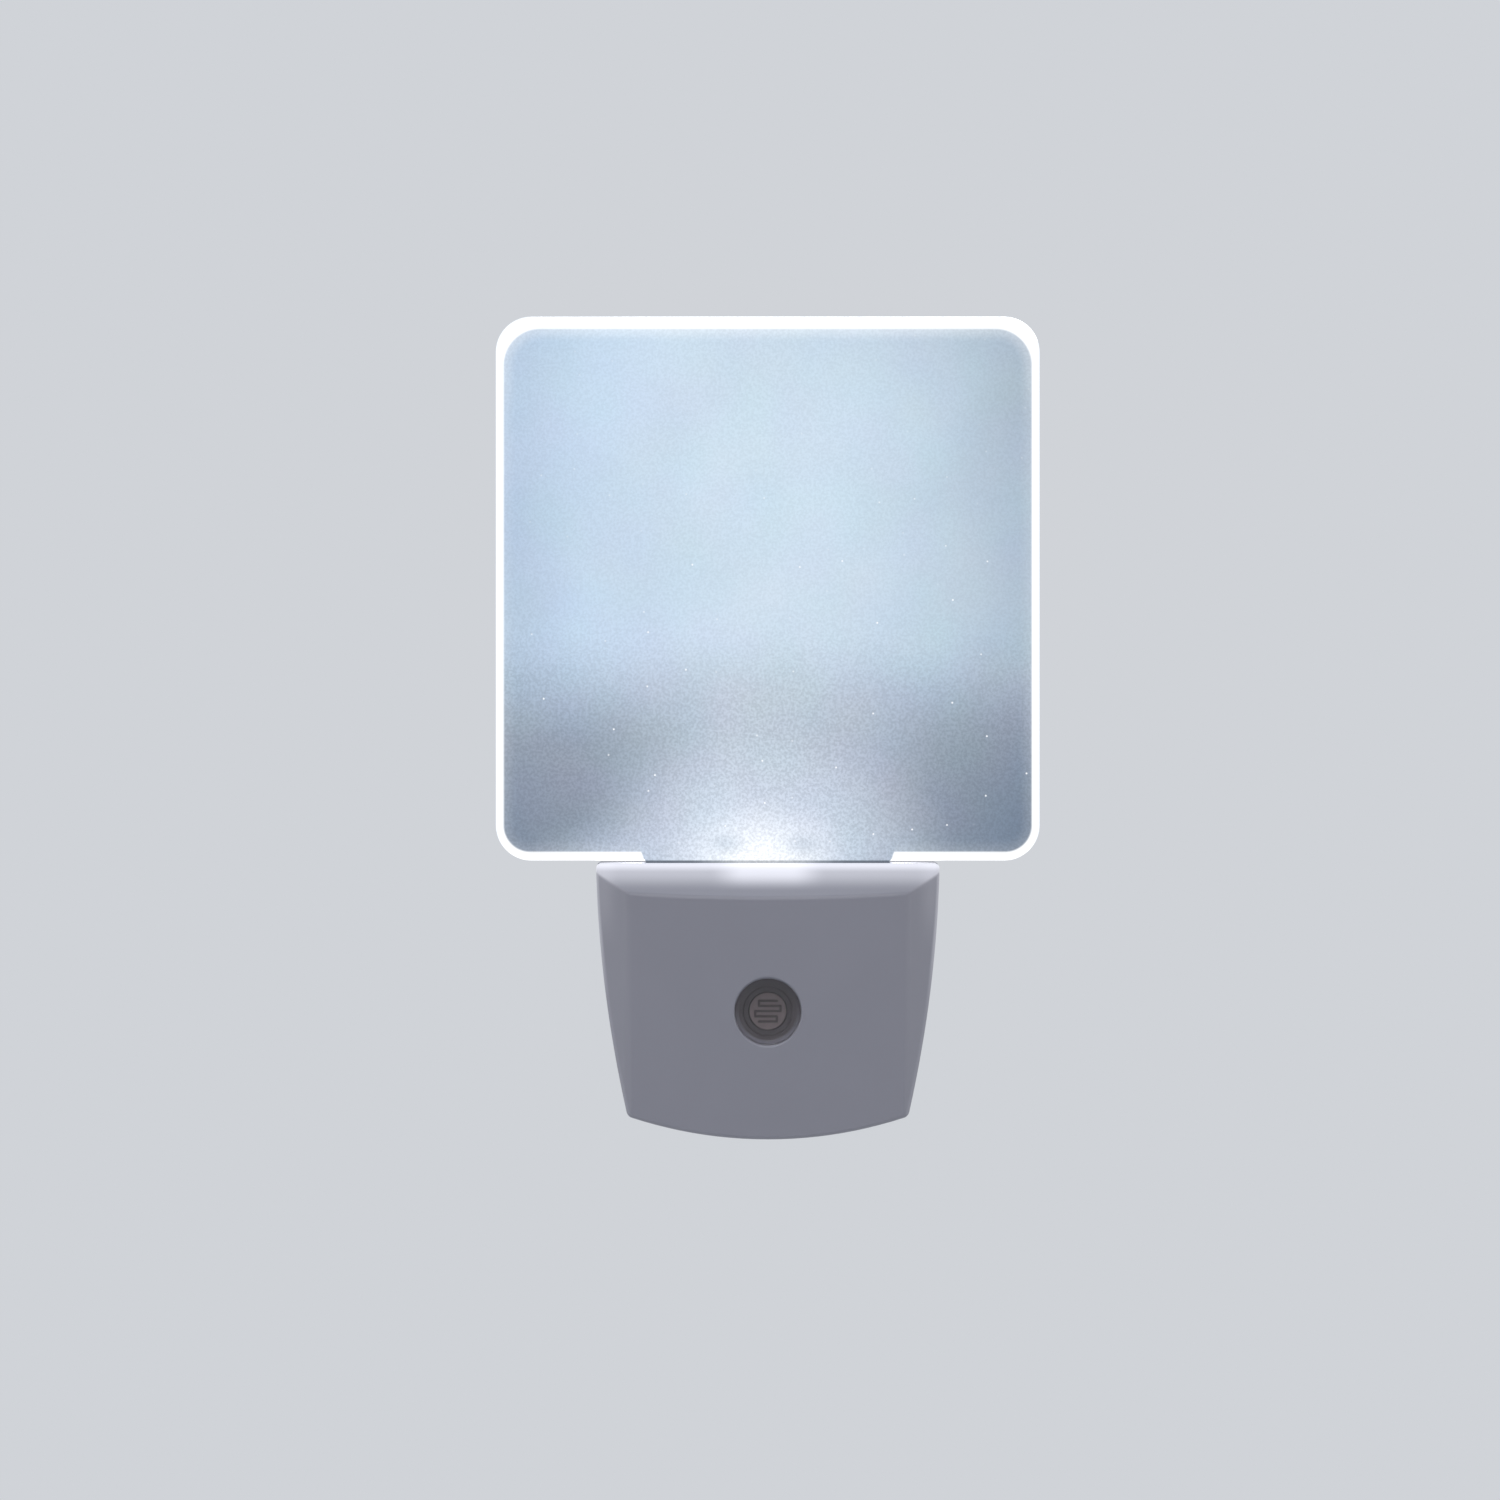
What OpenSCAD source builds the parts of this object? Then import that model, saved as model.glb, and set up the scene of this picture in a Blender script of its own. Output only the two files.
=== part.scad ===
// Plug-in night light with an edge-lit panel, a light sensor and a moulded two-pin plug.
// Frame: +X right, +Y towards the wall, +Z up. The origin is the middle of the plug's end face,
// midway between the pins, so the light's front faces -Y.

/* [Light panel] */
// Width of the light panel
panel_w = 76.8; // [64:0.2:96]
// Height of the light panel above the housing
panel_h = 76.8; // [60:0.2:100]
// Thickness of the light panel
panel_t = 6; // [5:0.5:7]
// Corner radius of the light panel, seen from the front
panel_corner_r = 5; // [3:0.5:10]
// Radius of the polished rim round both faces
panel_edge_r = 1.4; // [0.6:0.1:2]
// Width of the tongue that goes down into the housing
tongue_w = 34.4; // [30:0.2:34.6]
// How far the tongue goes down into the housing
tongue_depth = 7.1; // [6:0.1:8]
// Air gap between the panel's lower edge and the housing's top
panel_gap = 0.3; // [0.2:0.1:1.5]

/* [Housing] */
// Half of the housing's width at its widest
side_reach = 24.15; // [23.8:0.05:26]
// Radius of the long curve down each side
side_r = 170; // [150:5:300]
// Height of the side curve's widest point above the pins
side_arc_z = 22; // [18:1:26]
// Housing's top edge above the pins
housing_top = 18.1; // [17:0.1:21]
// Housing's lowest point below the pins
housing_bottom = 20.3; // [19.8:0.1:24]
// Radius of the curved bottom edge
bottom_r = 62; // [50:1:90]
// Radius of the two bottom corners
corner_r = 1.1; // [0.6:0.1:2]
// Depth of the front cover
front_depth = 14.5; // [13.5:0.5:18]
// Depth of the rear cover without the plug
rear_depth = 13.5; // [13:0.5:18]
// Wall of both covers
wall = 2; // [1.6:0.1:2.4]

/* [Front face] */
// Width of the bowed front between its side facets
front_w = 39.2; // [34:0.2:42]
// Radius of the bowed front, seen from above
front_r = 240; // [160:10:500]
// Angle of the side facets back from the front
facet_angle = 40.7; // [25:0.1:50]
// Height of the sloped bevel along the top
bevel_h = 4.1; // [2.5:0.1:5]
// Depth of the sloped bevel along the top
bevel_d = 5.5; // [4:0.1:7]
// Chamfer round the rear cover's back edge
back_chamfer = 1.5; // [0.5:0.1:2]

/* [Light sensor] */
// Height of the sensor above the pins
sensor_z = -2.5; // [-3:0.1:-2]
// Diameter of the hole for the sensor window
window_d = 9.3; // [8:0.1:9.6]
// How far the window lies behind the front
window_recess = 0.5; // [0.2:0.1:0.8]
// Diameter of the window's flange and of the sensor holder
holder_d = 11.4; // [11:0.1:12]
// Length of the sensor holder
holder_h = 4.4; // [4:0.1:5]
// Diameter of the photocell
cell_d = 5.1; // [4.5:0.1:5.6]
// Thickness of the photocell's ceramic base
cell_t = 1.5; // [1.2:0.1:2]
// Width of the photocell's light-sensitive track
track_w = 0.34; // [0.25:0.01:0.4]
// Distance between the track's passes
track_pitch = 0.72; // [0.65:0.01:0.78]

/* [Plug] */
// Overall width of the plug boss
boss_w = 35.3; // [34.6:0.1:36]
// Overall height of the plug boss
boss_h = 13.7; // [13:0.1:14.4]
// Width of the flat top and bottom of the plug boss
boss_flat_w = 26.1; // [25.6:0.1:26.6]
// Depth of the plug boss
boss_depth = 17.5; // [16:0.5:20]
// Chamfer round the plug's end face
boss_chamfer = 0.8; // [0.3:0.1:1.2]
// Thickness of the plug's end wall
end_wall = 3; // [2.5:0.1:4]
// Distance between the pins where they leave the plug
pin_pitch = 18.6; // [18:0.1:19.2]
// Distance between the pins at their tips
pin_tip_pitch = 17.5; // [17:0.1:18]
// Length of each pin outside the plug
pin_len = 19; // [18.5:0.5:19.5]
// Diameter of each pin's bare metal end
pin_d = 4; // [3.9:0.01:4.1]
// Diameter of the metal core under the sleeve
pin_core_d = 2.8; // [2.6:0.1:3]
// Outer diameter of the insulating sleeve
sleeve_d = 3.6; // [3.4:0.05:3.65]
// Length of sleeve outside the plug
sleeve_len = 10; // [9:0.5:11]

/* [Fasteners] */
// Diameter of the housing screws' thread
screw_d = 2.2; // [2:0.1:2.4]
// Diameter of the screw heads
screw_head_d = 4.2; // [3.8:0.1:4.4]
// Length of the housing screws below their heads
screw_len = 12; // [11:0.5:13]
// Depth of the counterbores for the screw heads
screw_sink = 7.5; // [6.5:0.5:8.5]

/* [Circuit] */
// Width of the main board
board_w = 35; // [34:0.5:36]
// Height of the main board
board_h = 16.2; // [16:0.1:16.4]
// Thickness of the main board
board_t = 1.6; // [1.2:0.2:2]
// Height of the pads that carry the main board
pad_h = 3; // [2.5:0.5:3.5]
// Width of the LED board
led_board_w = 20; // [19:0.5:24]
// Thickness of the LED board
led_board_t = 1; // [0.8:0.1:1.2]
// Distance between the two LEDs
led_pitch = 9.2; // [7:0.1:10]

/* [Hidden] */
$fn = 64;
long_arc_fn = 360;
lead_fn = 24;

// Clearances between pieces
slide_gap = 0.05;
close_gap = 0.02;
rest_gap = 0.2;
past = 1;

// Depths along Y
back_y = -boss_depth;
split_y = back_y - rear_depth;
front_y = split_y - front_depth;
floor_y = back_y - wall;
board_back_y = floor_y - pad_h;
board_front_y = board_back_y - board_t;

// Front face: where its facets start, and the slopes of facets and top bevel
facet_x = front_w / 2;
facet_y = front_y + front_r - sqrt(front_r * front_r - facet_x * facet_x);
facet_apex_y = facet_y - facet_x * tan(facet_angle);
bevel_z = housing_top - bevel_h;
bevel_angle = atan(bevel_h / bevel_d);

// Parting lip of the front cover, and the groove that takes it
lip_t = 0.95;
lip_h = 1.2;

// Tongue, and what clamps it
panel_z = housing_top + panel_gap;
tongue_z = housing_top - tongue_depth;
clamp_t = 2;
clamp_reach = 0.6;
peg_d = 2.9;
peg_x = 12;
peg_z = tongue_z + 2.5;

// LED board, held in slots in four ribs
led_h = 0.8;
led_w = 3.5;
led_d = 2.8;
led_cup_d = 2.2;
led_cup_h = 0.4;
led_board_top = tongue_z - rest_gap - led_h;
led_board_z = led_board_top - led_board_t;
led_board_d = panel_t + 1;
led_rib_x = 7;
led_rib_w = 1.5;
led_rib_bite = 1;
jaw_t = 0.8;

// Screws: places, columns and seats
screw_beside_tongue = [2.7, 1.6];
low_screw_x = 15.5;
low_screw_rise = 6.1;
low_screw_at = [low_screw_x, low_screw_rise - housing_bottom];
screw_at = [[tongue_w / 2, tongue_z] + screw_beside_tongue, low_screw_at];
screw_head_h = 1.4;
screw_edge = 0.55;
screw_point_h = 1;
screw_point_r = 0.35;
cross_w = 2.4;
cross_t = 0.5;
cross_h = 0.8;
column_r = 2.4;
sink_r = screw_head_d / 2 + 0.1;
seat_y = back_y - screw_sink;
seat_t = 1.2;
sink_wall = 1;

// Sensor, from the window back to the photocell
window_front_y = front_y + window_recess;
window_seat_y = front_y + wall - 0.1;
flange_h = 1.05;
holder_y = window_seat_y + flange_h;
collar_t = 1.2;
collar_d = holder_d + 2 * (slide_gap + collar_t);
coat_y = holder_y + rest_gap;
coat_h = 0.55;
track_h = 0.12;
cell_y = coat_y + coat_h + close_gap + track_h;
cell_lead_d = 0.5;
cell_lead_pitch = 3.4;
cell_lead_bite = 0.4;

// Plug: tilt of the pins, and the depths of flange, retainer and tail along each pin
pin_tilt = atan((pin_pitch - pin_tip_pitch) / 2 / pin_len);
boss_wall = 2;
pin_flange_d = 6;
pin_flange_h = 1.2;
pin_flange_at = -end_wall - 0.1;
pin_flange_end = pin_flange_at - pin_flange_h;
retainer_t = 1.5;
retainer_y = pin_flange_end - 0.12;
pin_tail_at = retainer_y - retainer_t - 2.2;
pin_tip_r = 1.3;
pin_mouth_d = 4.7;
pin_mouth_h = 0.5;
core_d = 0.7;
wire_core_d = 0.6;
core_socket = 1.8;
wire_d = 1.6;

// Main board: its place, and [x, z] of what stands on it
board_top = led_board_z - 3;
board_bottom = board_top - board_h;
post_d = 2.4;
post_at = [[-16, board_top - 1.6], [16, board_top - 1.6], [0, board_bottom + 1.4]];
tail_len = 0.8;
film_at = [-8, board_top - 3.8];
film_size = [13, 6, 12];
film_pitch = 10;
can_at = [10.5, board_top - 3.6];
can_d = 6.1;
can_h = 11;
can_wall = 0.3;
can_pitch = 2.5;
can_sleeve_t = 0.13;
bung_h = 1.6;
bleed_rise = 6;
bleed_at = [-8.6, board_bottom + bleed_rise];
bleed_size = [2.3, 6.3];
bleed_pitch = 10;
fuse_rise = 2;
fuse_at = [-9.2, board_bottom + fuse_rise];
fuse_size = [3.2, 8.6];
fuse_pitch = 12.4;
zener_rise = 1.8;
zener_at = [7.6, board_bottom + zener_rise];
zener_size = [1.8, 4];
zener_pitch = 7.6;
bridge_rise = 5.8;
bridge_at = [8, board_bottom + bridge_rise];
bridge_size = [4.7, 3.9, 1.5];
bridge_pitch = 2.5;
bridge_leg = [0.6, 1, 0.3];
transistor_rise = 5.6;
transistor_at = [14.2, board_bottom + transistor_rise];
transistor_r = 2.35;
transistor_h = 4.6;
transistor_lift = 2;
transistor_pitch = 1.27;
chip_size = [2, 1.25, 0.5];
chip_low_rise = 1.5;
chip_left_rise = 4;
chip_high_rise = 8.6;
chip_at = [[4.2, board_bottom + chip_high_rise], [13.4, board_bottom + chip_low_rise],
    [16, board_bottom + chip_low_rise], [-2.6, board_bottom + chip_left_rise]];
lead_d = 0.6;
solder_r = 0.55;
solder_skin = 0.06;
led_wire_d = 0.9;
led_wire_x = 1.4;
led_wire_step = 3;
wire_z = 0;

// ---- shapes that several pieces share ----

// A drawing in X and Z, made solid from one depth to another along Y
module along_y(from, to) {
    translate([0, to, 0]) rotate([90, 0, 0]) linear_extrude(to - from) children();
}

// A drawing in Y and Z, made solid across the whole width
module across() {
    reach = side_reach + past;
    translate([-reach, 0, 0]) rotate([90, 0, 90]) linear_extrude(2 * reach) children();
}

// A round rod along Y at [x, z]
module rod_y(at, d, from, to) {
    translate([at[0], to, at[1]]) rotate([90, 0, 0]) cylinder(d = d, h = to - from);
}

// Places what follows on the main board's front, standing up towards -Y
module on_board(at) {
    translate([at[0], board_front_y, at[1]]) rotate([90, 0, 0]) children();
}

module both_sides() {
    children();
    mirror([1, 0, 0]) children();
}

// Where two circles meet, on the right of the line from a to b
function meet(a, ra, b, rb) =
    let (d = norm(b - a), u = (b - a) / d, t = (d * d + ra * ra - rb * rb) / (2 * d))
    a + t * u + sqrt(ra * ra - t * t) * [u[1], -u[0]];

function unit(v) = v / norm(v);

side_centre = [side_reach - side_r, side_arc_z];
bottom_centre = [0, bottom_r - housing_bottom];
corner_inset = corner_r - close_gap;
corner_centre = meet(side_centre, side_r - corner_inset, bottom_centre, bottom_r - corner_inset);
corner_tip = meet(side_centre, side_r, bottom_centre, bottom_r);

// Housing seen from the front: curved sides, curved bottom, straight top
module outline(inset = 0) {
    intersection() {
        translate(side_centre) circle(side_r - inset, $fn = long_arc_fn);
        translate([-side_centre[0], side_centre[1]]) circle(side_r - inset, $fn = long_arc_fn);
        translate(bottom_centre) circle(bottom_r - inset, $fn = long_arc_fn);
        translate([-side_reach, -housing_bottom - past])
            square([2 * side_reach, housing_top + housing_bottom + past - inset]);
    }
}

// The same outline with its two bottom corners rounded
module rounded_outline() {
    clear = corner_r + past;
    difference() {
        outline();
        both_sides() difference() {
            polygon([
                corner_centre,
                corner_centre + clear * unit(corner_centre - side_centre),
                corner_tip + past * unit(corner_tip - corner_centre),
                corner_centre + clear * unit(corner_centre - bottom_centre)
            ]);
            translate(corner_centre) circle(corner_r);
        }
    }
}

// Front cover seen from above: the bowed front and its two facets
module front_plan(inset) {
    apex = facet_apex_y + inset / cos(facet_angle);
    reach = side_reach + past;
    facet_end = apex + reach * tan(facet_angle);
    intersection() {
        translate([0, front_y + front_r]) circle(front_r - inset, $fn = long_arc_fn);
        polygon([[0, apex], [reach, facet_end], [reach, split_y + 2 * past],
            [-reach, split_y + 2 * past], [-reach, facet_end]]);
    }
}

// Front cover seen from the side: the sloped bevel along the top
module front_side(inset) {
    low = -housing_bottom - past;
    drop = inset / cos(bevel_angle);
    start_y = front_y - past;
    end_y = facet_y + bevel_d + past;
    polygon([
        [start_y, low],
        [start_y, bevel_z - drop + (start_y - facet_y) * tan(bevel_angle)],
        [end_y, bevel_z - drop + (end_y - facet_y) * tan(bevel_angle)],
        [split_y + 2 * past, housing_top + 2 * past],
        [split_y + 2 * past, low]
    ]);
}

module front_form(inset, to) {
    intersection() {
        along_y(front_y - past, to) if (inset > 0) outline(inset); else rounded_outline();
        translate([0, 0, -housing_bottom - past])
            linear_extrude(housing_top + housing_bottom + 2 * past) front_plan(inset);
        across() front_side(inset);
    }
}

// Rear cover without its plug: straight walls with a chamfered back edge
module rear_form(inset, from) {
    reach = side_reach - back_chamfer;
    end_y = back_y - inset;
    intersection() {
        along_y(from, end_y) if (inset > 0) outline(inset); else rounded_outline();
        translate([0, 0, -housing_bottom - past])
            linear_extrude(housing_top + housing_bottom + 2 * past)
                polygon([[-side_reach - past, from], [side_reach + past, from],
                    [side_reach + past, end_y - back_chamfer - past], [reach, end_y],
                    [-reach, end_y], [-side_reach - past, end_y - back_chamfer - past]]);
        across() polygon([[from, -housing_bottom - past], [from, housing_top + past],
            [end_y - back_chamfer - past, housing_top + past], [end_y, housing_top - back_chamfer],
            [end_y, back_chamfer - housing_bottom], [end_y - back_chamfer - past, -housing_bottom - past]]);
    }
}

// The plug boss seen from its end
module boss_outline(inset = 0) {
    half_w = boss_w / 2 - inset;
    half_h = boss_h / 2 - inset;
    slant = (boss_w - boss_flat_w) / 2 - inset * (2 - sqrt(2));
    flat = half_w - slant;
    polygon([[flat, half_h], [half_w, half_h - slant], [half_w, slant - half_h], [flat, -half_h],
        [-flat, -half_h], [-half_w, slant - half_h], [-half_w, half_h - slant], [-flat, half_h]]);
}

// The plug boss, with the edges of its end face chamfered
module boss_form() {
    half_w = boss_w / 2;
    half_h = boss_h / 2;
    taper = boss_chamfer + past;
    intersection() {
        along_y(floor_y, 0) boss_outline();
        translate([0, 0, -boss_h]) linear_extrude(2 * boss_h)
            polygon([[-half_w - past, floor_y], [half_w + past, floor_y], [half_w + past, -taper],
                [half_w - boss_chamfer, 0], [boss_chamfer - half_w, 0], [-half_w - past, -taper]]);
        across() polygon([[floor_y, -half_h - past], [-taper, -half_h - past],
            [0, boss_chamfer - half_h], [0, half_h - boss_chamfer],
            [-taper, half_h + past], [floor_y, half_h + past]]);
    }
}

// The slot through the top walls that the tongue drops into
module tongue_slot() {
    translate([-tongue_w / 2 - slide_gap, split_y - panel_t / 2 - slide_gap, tongue_z - slide_gap])
        cube([tongue_w + 2 * slide_gap, panel_t + 2 * slide_gap, tongue_depth + past + slide_gap]);
}

// Gap in the parting lip, and in its groove, beside the tongue
module tongue_gap(side) {
    half = lip_h + 2 * past;
    translate([-tongue_w / 2 - side, split_y - half, tongue_z])
        cube([tongue_w + 2 * side, 2 * half, tongue_depth + past]);
}

// Slots that hold the LED board's edges
module led_board_slot() {
    slot = [led_board_w + 2 * slide_gap, led_board_d + 2 * slide_gap, led_board_t + 2 * close_gap];
    translate([-slot[0] / 2, split_y - slot[1] / 2, led_board_z - close_gap]) cube(slot);
}

module led_ribs(from, to) {
    for (x = [-led_rib_x - led_rib_w, led_rib_x])
        translate([x, from, led_board_z - 1.6])
            cube([led_rib_w, to - from, led_board_t + 1.6 + jaw_t + close_gap]);
}

// Flange that holds the tongue's face
module tongue_clamp(from, to) {
    translate([-tongue_w / 2 - clamp_reach, from, tongue_z + rest_gap])
        cube([tongue_w + 2 * clamp_reach, to - from, tongue_depth]);
}

// ---- housing ----

module front_cover() {
    face = split_y - panel_t / 2 - slide_gap;
    color("whitesmoke") difference() {
        union() {
            difference() {
                front_form(0, split_y);
                front_form(wall, split_y + past);
            }
            difference() {
                along_y(split_y - past, split_y + lip_h) outline(wall - lip_t);
                along_y(split_y - 2 * past, split_y + lip_h + past) outline(wall);
                tongue_gap(past);
            }
            intersection() {
                front_form(wall / 2, split_y);
                union() {
                    both_sides() for (at = screw_at) rod_y(at, 2 * column_r, front_y, split_y);
                    tongue_clamp(face - clamp_t, face);
                    led_ribs(front_y, split_y - led_board_d / 2 + led_rib_bite);
                    rod_y([0, sensor_z], collar_d, front_y, holder_y + holder_h);
                }
            }
            for (at = post_at) intersection() {
                rod_y(at, post_d, front_y, board_front_y - slide_gap);
                front_form(wall / 2, board_front_y);
            }
            both_sides()
                rod_y([peg_x, peg_z], peg_d, face - clamp_t / 2, split_y + (panel_t + clamp_t) / 2);
        }
        front_cover_cuts();
    }
}

module front_cover_cuts() {
    difference() {
        tongue_slot();
        both_sides() rod_y([peg_x, peg_z], peg_d, split_y - panel_t, split_y + panel_t);
    }
    led_board_slot();
    rod_y([0, sensor_z], window_d, front_y - past, split_y);
    rod_y([0, sensor_z], holder_d + 2 * slide_gap, window_seat_y, split_y);
    both_sides() for (at = screw_at) {
        rod_y(at, screw_d + 2 * close_gap, seat_y - screw_len - rest_gap, split_y + past);
        rod_y(at, 2 * (column_r + slide_gap), split_y, split_y + lip_h + past);
    }
}

module rear_cover() {
    face = split_y + panel_t / 2 + slide_gap;
    color("whitesmoke") difference() {
        union() {
            difference() {
                rear_form(0, split_y);
                rear_form(wall, split_y - past);
            }
            boss_form();
            intersection() {
                rear_form(wall / 2, split_y);
                union() {
                    both_sides() for (at = screw_at) {
                        rod_y(at, 2 * column_r, split_y, back_y);
                        rod_y(at, 2 * (sink_r + sink_wall), seat_y - seat_t, back_y);
                    }
                    tongue_clamp(face, face + clamp_t);
                    led_ribs(split_y + led_board_d / 2 - led_rib_bite, back_y);
                    for (at = post_at) rod_y(at, post_d, board_back_y + slide_gap, back_y);
                }
            }
        }
        rear_cover_cuts();
    }
}

module rear_cover_cuts() {
    tongue_slot();
    led_board_slot();
    difference() {
        along_y(split_y - past, split_y + lip_h + slide_gap) outline(wall - lip_t - slide_gap);
        along_y(split_y - 2 * past, split_y + lip_h + past) outline(wall);
        tongue_gap(past / 2);
        both_sides() for (at = screw_at) rod_y(at, 2 * column_r, split_y - 3 * past, split_y + 3 * past);
    }
    along_y(floor_y - slide_gap, -end_wall) boss_outline(boss_wall);
    both_sides() {
        rod_y([peg_x, peg_z], peg_d + 2 * slide_gap, split_y, split_y + panel_t / 2 + clamp_t + past);
        for (at = screw_at) {
            rod_y(at, screw_d + 4 * slide_gap, split_y - past, back_y);
            rod_y(at, 2 * sink_r, seat_y, back_y + past);
        }
    }
    for (side = [-1, 1]) on_pin(side) {
        translate([0, 0, -end_wall - past])
            cylinder(d = sleeve_d + 2 * close_gap, h = end_wall + 2 * past);
        translate([0, 0, -pin_mouth_h]) cylinder(d = pin_mouth_d, h = pin_mouth_h + past);
    }
}

// Pan-head self-tapping screws with cross recesses, head to the rear
module housing_screws() {
    color("silver") both_sides() for (at = screw_at) translate([at[0], seat_y, at[1]]) rotate([-90, 0, 0])
        difference() {
            rotate_extrude() screw_profile();
            for (turn = [0, 90]) rotate([0, 0, turn])
                translate([-cross_w / 2, -cross_t / 2, screw_head_h - cross_h])
                    cube([cross_w, cross_t, cross_h + past]);
        }
}

module screw_profile() {
    head_r = screw_head_d / 2;
    polygon([[0, -screw_len], [0, screw_head_h], [head_r - screw_edge, screw_head_h],
        [head_r, screw_head_h - screw_edge], [head_r, close_gap], [screw_d / 2, close_gap],
        [screw_d / 2, screw_point_h - screw_len], [screw_point_r, -screw_len]]);
}

// ---- light panel ----

// One face's rounded rim: rods along the straight edges, quarter rings at the corners
module panel_rim(y) {
    half = panel_w / 2 - panel_corner_r;
    mid_z = panel_z + panel_h / 2;
    tall = panel_h / 2 - panel_corner_r;
    ring_r = panel_corner_r - panel_edge_r;
    for (side = [-1, 1]) {
        translate([side * (panel_w / 2 - panel_edge_r), y, mid_z - tall])
            cylinder(r = panel_edge_r, h = 2 * tall);
        translate([-half, y, mid_z + side * (panel_h / 2 - panel_edge_r)]) rotate([0, 90, 0])
            cylinder(r = panel_edge_r, h = 2 * half);
    }
    for (sx = [0, 1], sz = [0, 1])
        translate([0, y, mid_z]) mirror([sx, 0, 0]) mirror([0, 0, sz]) translate([half, 0, tall])
            rotate([90, 0, 0]) rotate_extrude(angle = 90) translate([ring_r, 0]) circle(panel_edge_r);
}

// The panel's outline, drawn in by an inset
module panel_outline(inset) {
    r = panel_corner_r - inset;
    translate([-panel_w / 2 + panel_corner_r, panel_z + panel_corner_r]) {
        span = [panel_w - 2 * panel_corner_r, panel_h - 2 * panel_corner_r];
        translate([0, -r]) square([span[0], span[1] + 2 * r]);
        translate([-r, 0]) square([span[0] + 2 * r, span[1]]);
        for (x = [0, span[0]], z = [0, span[1]]) translate([x, z]) circle(r);
    }
}

module light_panel() {
    face = panel_t / 2;
    color("lightblue", 0.8) difference() {
        union() {
            along_y(split_y - face + panel_edge_r, split_y + face - panel_edge_r) panel_outline(0);
            along_y(split_y - face, split_y + face) panel_outline(panel_edge_r);
            for (side = [-1, 1]) panel_rim(split_y + side * (face - panel_edge_r));
            translate([-tongue_w / 2, split_y - face, tongue_z])
                cube([tongue_w, panel_t, panel_z + 2 * panel_edge_r - tongue_z]);
        }
        both_sides() rod_y([peg_x, peg_z], peg_d + 2 * slide_gap, split_y - panel_t, split_y + panel_t);
    }
}

// ---- light sensor ----

module sensor_window() {
    color("lightgray", 0.4) {
        rod_y([0, sensor_z], window_d - 2 * slide_gap, window_front_y, window_seat_y + slide_gap);
        rod_y([0, sensor_z], holder_d, window_seat_y + close_gap, holder_y - close_gap);
    }
}

module sensor_holder() {
    color("dimgray") difference() {
        rod_y([0, sensor_z], holder_d, holder_y, holder_y + holder_h);
        rod_y([0, sensor_z], cell_d + 2 * slide_gap, holder_y - past, holder_y + holder_h + past);
    }
}

module photocell_base() {
    color("tan") difference() {
        rod_y([0, sensor_z], cell_d, cell_y, cell_y + cell_t);
        for (side = [-1, 1]) rod_y([side * cell_lead_pitch / 2, sensor_z], cell_lead_d + 2 * close_gap,
            cell_y + cell_lead_bite, cell_y + cell_t + past);
    }
}

// One snaking line: passes across the cell, joined at alternate ends
track_rows = 2;
track_reach = cell_d / 2 - 0.65;

function track_end(row) = sqrt(track_reach * track_reach - row * row * track_pitch * track_pitch);
function track_turn(row) = min(track_end(row), track_end(row + 1));

track_points = concat(
    [[-track_end(track_rows), -track_rows * track_pitch]],
    [for (row = [-track_rows:track_rows - 1], step = [0, 1])
        [(row % 2 == 0 ? 1 : -1) * track_turn(row), (row + step) * track_pitch]],
    [[track_end(track_rows), track_rows * track_pitch]]
);

module photocell_track() {
    last = len(track_points) - 1;
    color("sienna") along_y(cell_y - track_h, cell_y) translate([0, sensor_z]) for (i = [0:last]) {
        a = track_points[i];
        b = track_points[min(i + 1, last)];
        level = a[1] == b[1];
        side = level ? [0, track_w] : [track_w, 0];
        if (i < last) translate([min(a[0], b[0]), min(a[1], b[1])] - side / 2)
            square([abs(b[0] - a[0]), abs(b[1] - a[1])] + side);
        translate(a) circle(d = track_w, $fn = 32);
    }
}

module photocell_coat() {
    color("mistyrose", 0.5) rod_y([0, sensor_z], cell_d, coat_y, coat_y + coat_h);
}

module photocell_leads() {
    color("silver") for (side = [-1, 1]) rod_y([side * cell_lead_pitch / 2, sensor_z], cell_lead_d,
        cell_y + cell_lead_bite + close_gap, board_back_y + tail_len, $fn = lead_fn);
}

// ---- plug ----

// Places what follows on one pin's axis: Z runs out along the pin, from the plug's end face
module on_pin(side) {
    translate([side * pin_pitch / 2, 0, 0]) rotate([0, 0, side * pin_tilt]) rotate([-90, 0, 0]) children();
}

module pin(side) {
    bare_at = sleeve_len + close_gap;
    color("gainsboro") on_pin(side) difference() {
        rotate_extrude() {
            translate([0, pin_tail_at]) square([pin_core_d / 2, sleeve_len + past - pin_tail_at]);
            translate([0, pin_flange_end]) square([pin_flange_d / 2, pin_flange_h]);
            translate([0, bare_at]) square([pin_d / 2, pin_len - pin_tip_r - bare_at]);
            translate([0, bare_at]) square([pin_d / 2 - pin_tip_r, pin_len - bare_at]);
            intersection() {
                translate([pin_d / 2 - pin_tip_r, pin_len - pin_tip_r]) circle(pin_tip_r);
                square([pin_d, pin_len]);
            }
        }
        translate([0, 0, pin_tail_at - past]) cylinder(d = core_d + 2 * close_gap, h = past + core_socket);
    }
}

module pin_sleeve(side) {
    start = pin_flange_at + close_gap;
    color("dimgray") on_pin(side) difference() {
        translate([0, 0, start]) cylinder(d = sleeve_d, h = sleeve_len - start);
        translate([0, 0, start - past])
            cylinder(d = pin_core_d + 2 * close_gap, h = sleeve_len - start + 2 * past);
    }
}

module pin_left() { pin(-1); }
module pin_right() { pin(1); }
module pin_sleeve_left() { pin_sleeve(-1); }
module pin_sleeve_right() { pin_sleeve(1); }

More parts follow.
